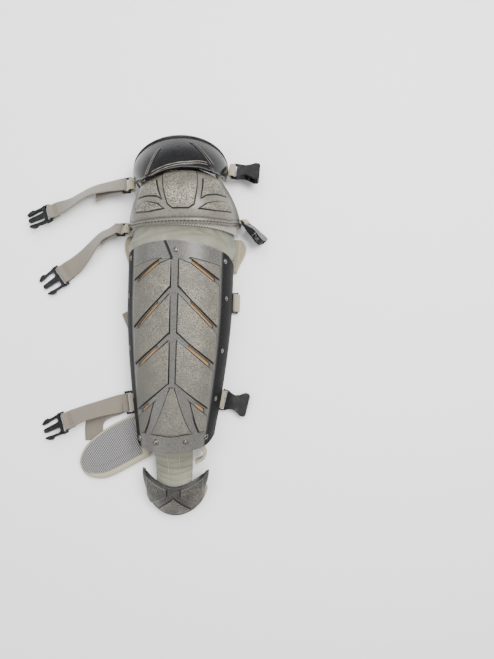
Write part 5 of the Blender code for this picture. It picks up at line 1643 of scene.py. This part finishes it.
def fastened_strap(name, anchor, heading, roll, reach, route, tail):
    reverse = math.pi + heading
    offset = LOOP_LENGTH + BAR_TURN + WEBBING_THICKNESS / 2
    direction = Vector((math.cos(reverse), math.sin(reverse), 0))
    bar = (SLIDE_DEPTH - BAR) / 2
    middle = anchor + direction * (offset + bar)
    frame = frame_at(*middle, reverse, roll)
    webbing_loop(name + "_loop", frame, -bar, -bar - LOOP_LENGTH)
    across = frame.to_3x3() @ Vector((0, 1, 0))
    wrap = [(frame @ round_bar(bar, angle), across) for angle in (-90, -135, -180, -225, -270)]
    out = frame @ Vector((bar + 0.005, 0, BAR_TURN))
    back = frame @ Vector((bar + 0.005, 0, -BAR_TURN))
    tail_route = [(*back, roll)] + route_points(middle, reach, tail)
    main_route = [(*out, roll)] + route_points(middle, reach, route)
    buckle, ending = end_at_buckle(main_route)
    main_line = [tuple(point) for point in catmull(main_route, 3)]
    tail_line = [tuple(point) for point in catmull(tail_route, 2)]
    stations = run_stations(tail_line)[::-1] + wrap + run_stations(main_line)[:-1] + ending
    strap = ribbon(name + "_shown", stations, WEBBING_WIDTH, WEBBING_THICKNESS,
                   MATERIALS["webbing"])
    sewn_rows(name, buckle)
    return declare(strap, "webbing", name)


def calf_strap():
    y = 0.5 * CALF_NOTCH_PLACE + 0.002
    root = Vector((0.005 - pad_wall(y), y, CALF_NOTCH_HEIGHT - 0.0015))
    direction = Vector((math.cos(CALF_HEADING), math.sin(CALF_HEADING), 0))
    across = Vector((-direction.y, direction.x, 0))
    turn = (CALF_FOLD_HEIGHT - WEBBING_WIDTH * CALF_ROUTE[0].height) / 2
    fold = root + direction * CALF_FOLD_REACH
    fold.z = CALF_FOLD_HEIGHT
    stations = [(root, across), (fold, across)]
    for angle in (45, 0, -45, -90):
        radians = math.radians(angle)
        point = fold + direction * turn * math.cos(radians)
        point.z = CALF_FOLD_HEIGHT - turn + turn * math.sin(radians)
        stations.append((point, across))
    start = stations[-1][0]
    route = [(*start, 0.0)] + route_points(start, -CALF_REACH, CALF_ROUTE)
    ending = end_at_buckle(route)[1]
    line = [tuple(point) for point in catmull(route, 3)]
    main_run = [(place, -width) for place, width in run_stations(line)[1:-1]]
    ending = [(place, -width) for place, width in ending]
    strap = ribbon("strap_calf_shown", stations + main_run + ending, WEBBING_WIDTH,
                   WEBBING_THICKNESS, MATERIALS["webbing"])
    return declare(strap, "webbing", "strap_calf")


def seat(surface, side, place, height, clearance):
    """A point just outside a surface's side wall, at a height."""
    angle = math.copysign(math.pi / 2, side)
    point, normal = Vector(surface(angle, place)), Vector(normals_of(surface, angle, place))
    normal.z = 0
    point += normal.normalized() * clearance
    point.z = height
    return point


def straps():
    degrees = math.radians
    fastened_strap("strap_thigh", seat(thigh_surface, -1, 0.25, 0.0215, 0.0018), degrees(8),
                   degrees(36), 0.128, THIGH_ROUTE, THIGH_TAIL)
    fastened_strap("strap_knee", seat(knee_surface, -1, 0.009, 0.0185, 0.0001), degrees(4),
                   degrees(48), 0.100, KNEE_ROUTE, KNEE_TAIL)
    y = SHIN_TOP - 0.79 * SHIN_LENGTH
    fastened_strap("strap_ankle", Vector((-pad_wall(y) - 3 * GAP, y, 0.0075)), degrees(10),
                   degrees(5), 0.104, ANKLE_ROUTE, ANKLE_TAIL)
    calf_strap()
    webbing_loop("strap_thigh_catch_loop", frame_at(*THIGH_CATCH, degrees(-3), degrees(-34)),
                 0.0, -0.0025)
    webbing_loop("strap_knee_catch_loop", frame_at(*KNEE_CATCH, degrees(-44), degrees(-70)),
                 0.0, -0.0030)
    y = SHIN_TOP - 0.765 * SHIN_LENGTH
    bar = pad_wall(y) + 3 * GAP + BAR_TURN + WEBBING_THICKNESS / 2 + ANKLE_CATCH_LOOP
    webbing_loop("strap_ankle_catch_loop", frame_at(bar, y, 0.0074, degrees(-12), degrees(-4)),
                 0.0, -ANKLE_CATCH_LOOP)
    place = pad_wall(CALF_CATCH_PLACE) + 0.0128
    loop = frame_at(place, CALF_CATCH_PLACE, FEMALE_THICKNESS / 2, 0.0, 0.0, degrees(62))
    webbing_loop("strap_calf_catch_loop", loop, 0.0, -CALF_CATCH_LOOP)


# Rivets

def rivet(name, surface, side, place, scale=1.0, open_middle=False):
    """A domed rivet in a dished ring, or an eyelet, turned on the surface's normal."""
    angle = math.asin(side)
    normal = Vector(normals_of(surface, angle, place))
    centre = Vector(surface(angle, place)) + normal * 0.0003
    radius, height = RIVET_RADIUS * scale, RIVET_HEIGHT * scale
    if open_middle:
        profile = [(0.42, 0.0), (0.42, 0.42), (0.50, 0.60), (0.66, 0.66), (0.84, 0.52),
                   (0.97, 0.25), (1.0, 0.0)]
    else:
        profile = [(0.0, 1.0), (0.22, 0.97), (0.44, 0.86), (0.62, 0.66), (0.72, 0.42),
                   (0.76, 0.20), (0.84, 0.22), (0.94, 0.20), (1.0, 0.0)]
    turn = normal.to_track_quat("Z", "Y").to_matrix()
    points, faces = [], []
    steps = 36
    for reach, rise in profile:
        for step in range(steps):
            around = 2 * math.pi * step / steps
            local = Vector((radius * reach * math.cos(around), radius * reach * math.sin(around),
                            height * rise))
            points.append(tuple(centre + turn @ local))
    for ring in range(len(profile) - 1):
        for step in range(steps):
            a, b = ring * steps + step, ring * steps + (step + 1) % steps
            faces.append([a, a + steps, b + steps, b])
    last = (len(profile) - 1) * steps
    if open_middle:
        faces += [[last + step, step, (step + 1) % steps, last + (step + 1) % steps]
                  for step in range(steps)]
    else:
        faces.append([last + step for step in range(steps - 1, -1, -1)])
    obj = new_object(name + "_shown", points, faces, MATERIALS["rivet"], sharp=70)
    outward(obj, 1e-7)
    return declare(obj, "rivet_metal", name)


def rivets():
    top, length = SHIN_TOP, SHIN_LENGTH
    rivet("rivet_top", shin_surface, 0.013, top - 0.047 * length)
    for name, share in (("upper", 0.255), ("middle", 0.510), ("lower", 0.745)):
        for label, side in (("left", -0.895), ("right", 0.895)):
            rivet(f"rivet_{name}_{label}", shin_surface, side, top - share * length, 0.8)
    for label, side in (("left", -1), ("right", 1)):
        skewed = SHIN_SKEW * side * SHIN_BOTTOM_HALF
        rivet(f"rivet_corner_{label}", shin_surface, side * 0.86, top - 0.076 * length, 0.85)
        rivet(f"rivet_bottom_{label}", shin_surface, side * 0.37,
              top - 0.947 * length + skewed * 0.4)
        rivet(f"eyelet_{label}", shin_surface, side * 0.82,
              top - 0.938 * length + skewed, 0.95, True)


def knee_seam():
    """The sewn line along the knee plate's lower edge."""
    angle = np.radians(np.linspace(-84, 84, 200))
    y = knee_edge(np.sin(angle)) + KNEE_SEAM_PLACE
    path = beneath(knee_surface, angle, y, -SEAM_RISE)
    stitches("knee_seam_stitches", path, 0.0042, 0.0056, 0.00085, MATERIALS["black_thread"],
             "black_plastic")


def knee_piping():
    """The light cord between the knee plate's edge and the mesh strip."""
    angle = np.radians(np.linspace(-88, 88, 90))
    y = knee_edge(np.sin(angle)) - 0.0009
    path = beneath(knee_surface, angle, y, KNEE_PAD_DEPTH - 0.0006)
    stations = [(Vector(point), Vector(normal)) for point, normal in
                zip(path, normals_of(knee_surface, angle, y))]
    cord = ribbon("knee_piping", stations, 0.0013, 0.0012, MATERIALS["cream"], steps=1, bow=0.0)
    return declare(cord, "cream_fabric")


def dress_hardware():
    """Buckles and slides keep their solids, with softened edges and a moulded finish."""
    for entry in frame["record"]["subparts"]:
        if entry["material_slot"] != "black_plastic":
            continue
        node = frame["nodes"][entry["node"]]
        node.data.materials.clear()
        node.data.materials.append(MATERIALS["black"])
        round_edges(node, 0.0006)


def main():
    shin_plate()
    knee_plate()
    thigh_plate()
    toe_plate()
    shin_pad()
    knee_pad()
    thigh_pad()
    toe_pad()
    knee_gusset()
    knee_mesh()
    knee_piping()
    knee_seam()
    toe_tab()
    ankle_wing()
    side_pad("side_pad_left", -1, SIDE_PAD_LEFT)
    side_pad("side_pad_right", 1, SIDE_PAD_RIGHT)
    ankle_roll()
    straps()
    rivets()
    dress_hardware()
    studio()


# Studio

CAMERA_HEIGHT = 0.83
FOCAL_PIXELS = 495.0
PHOTO_WIDTH = 494.0
CAMERA_TURN = math.radians(2)
CAMERA_SIDE = 0.1105
FLOOR_LEVEL = -0.0006
FLOOR_REACH = 4.0
FLOOR_COLOUR = (0.86, 0.86, 0.86, 1)
SKY_COLOUR = (0.93, 0.95, 1.0, 1)
SKY_STRENGTH = 0.80
Lamp = namedtuple("Lamp", "name place size power colour")
LAMPS = (
    Lamp("key", (0.75, 0.45, 1.6), 0.9, 54.0, (1.0, 0.99, 0.97)),
    Lamp("fill", (-1.1, -0.3, 1.5), 1.4, 15.0, (0.98, 0.99, 1.0)),
    Lamp("top", (-0.1, 1.0, 1.5), 1.0, 20.0, (0.99, 0.995, 1.0)),
)


def studio():
    floor = bpy.data.meshes.new("floor")
    corners = ((-1, -1), (1, -1), (1, 1), (-1, 1))
    floor.from_pydata([(FLOOR_REACH * x, FLOOR_REACH * y, FLOOR_LEVEL) for x, y in corners], [],
                      [(0, 1, 2, 3)])
    floor.materials.append(start_material("pale_floor", 0.9, Base_Color=FLOOR_COLOUR)[0])
    ground = bpy.data.objects.new("floor", floor)
    bpy.context.scene.collection.objects.link(ground)
    world = bpy.data.worlds.new("studio")
    bpy.context.scene.world = world
    world.use_nodes = True
    sky = world.node_tree.nodes["Background"].inputs
    sky["Color"].default_value = SKY_COLOUR
    sky["Strength"].default_value = SKY_STRENGTH
    for lamp in LAMPS:
        data = bpy.data.lights.new(lamp.name, "AREA")
        data.size, data.energy, data.color = lamp.size, lamp.power, lamp.colour
        light = bpy.data.objects.new(lamp.name, data)
        light.location = lamp.place
        aim = Vector((0, 0, 0.03)) - Vector(lamp.place)
        light.rotation_euler = aim.to_track_quat("-Z", "Y").to_euler()
        bpy.context.scene.collection.objects.link(light)
    camera = bpy.data.objects.new("camera", bpy.data.cameras.new("camera"))
    camera.data.sensor_fit = "HORIZONTAL"
    camera.data.sensor_width = 36.0
    camera.data.lens = FOCAL_PIXELS / PHOTO_WIDTH * 36.0
    camera.data.clip_start = 0.01
    place = Vector((CAMERA_SIDE * math.cos(CAMERA_TURN), CAMERA_SIDE * math.sin(CAMERA_TURN),
                    CAMERA_HEIGHT))
    camera.location = place + SHIFT
    camera.rotation_euler = (0, 0, CAMERA_TURN)
    bpy.context.scene.collection.objects.link(camera)
    bpy.context.scene.camera = camera


main()
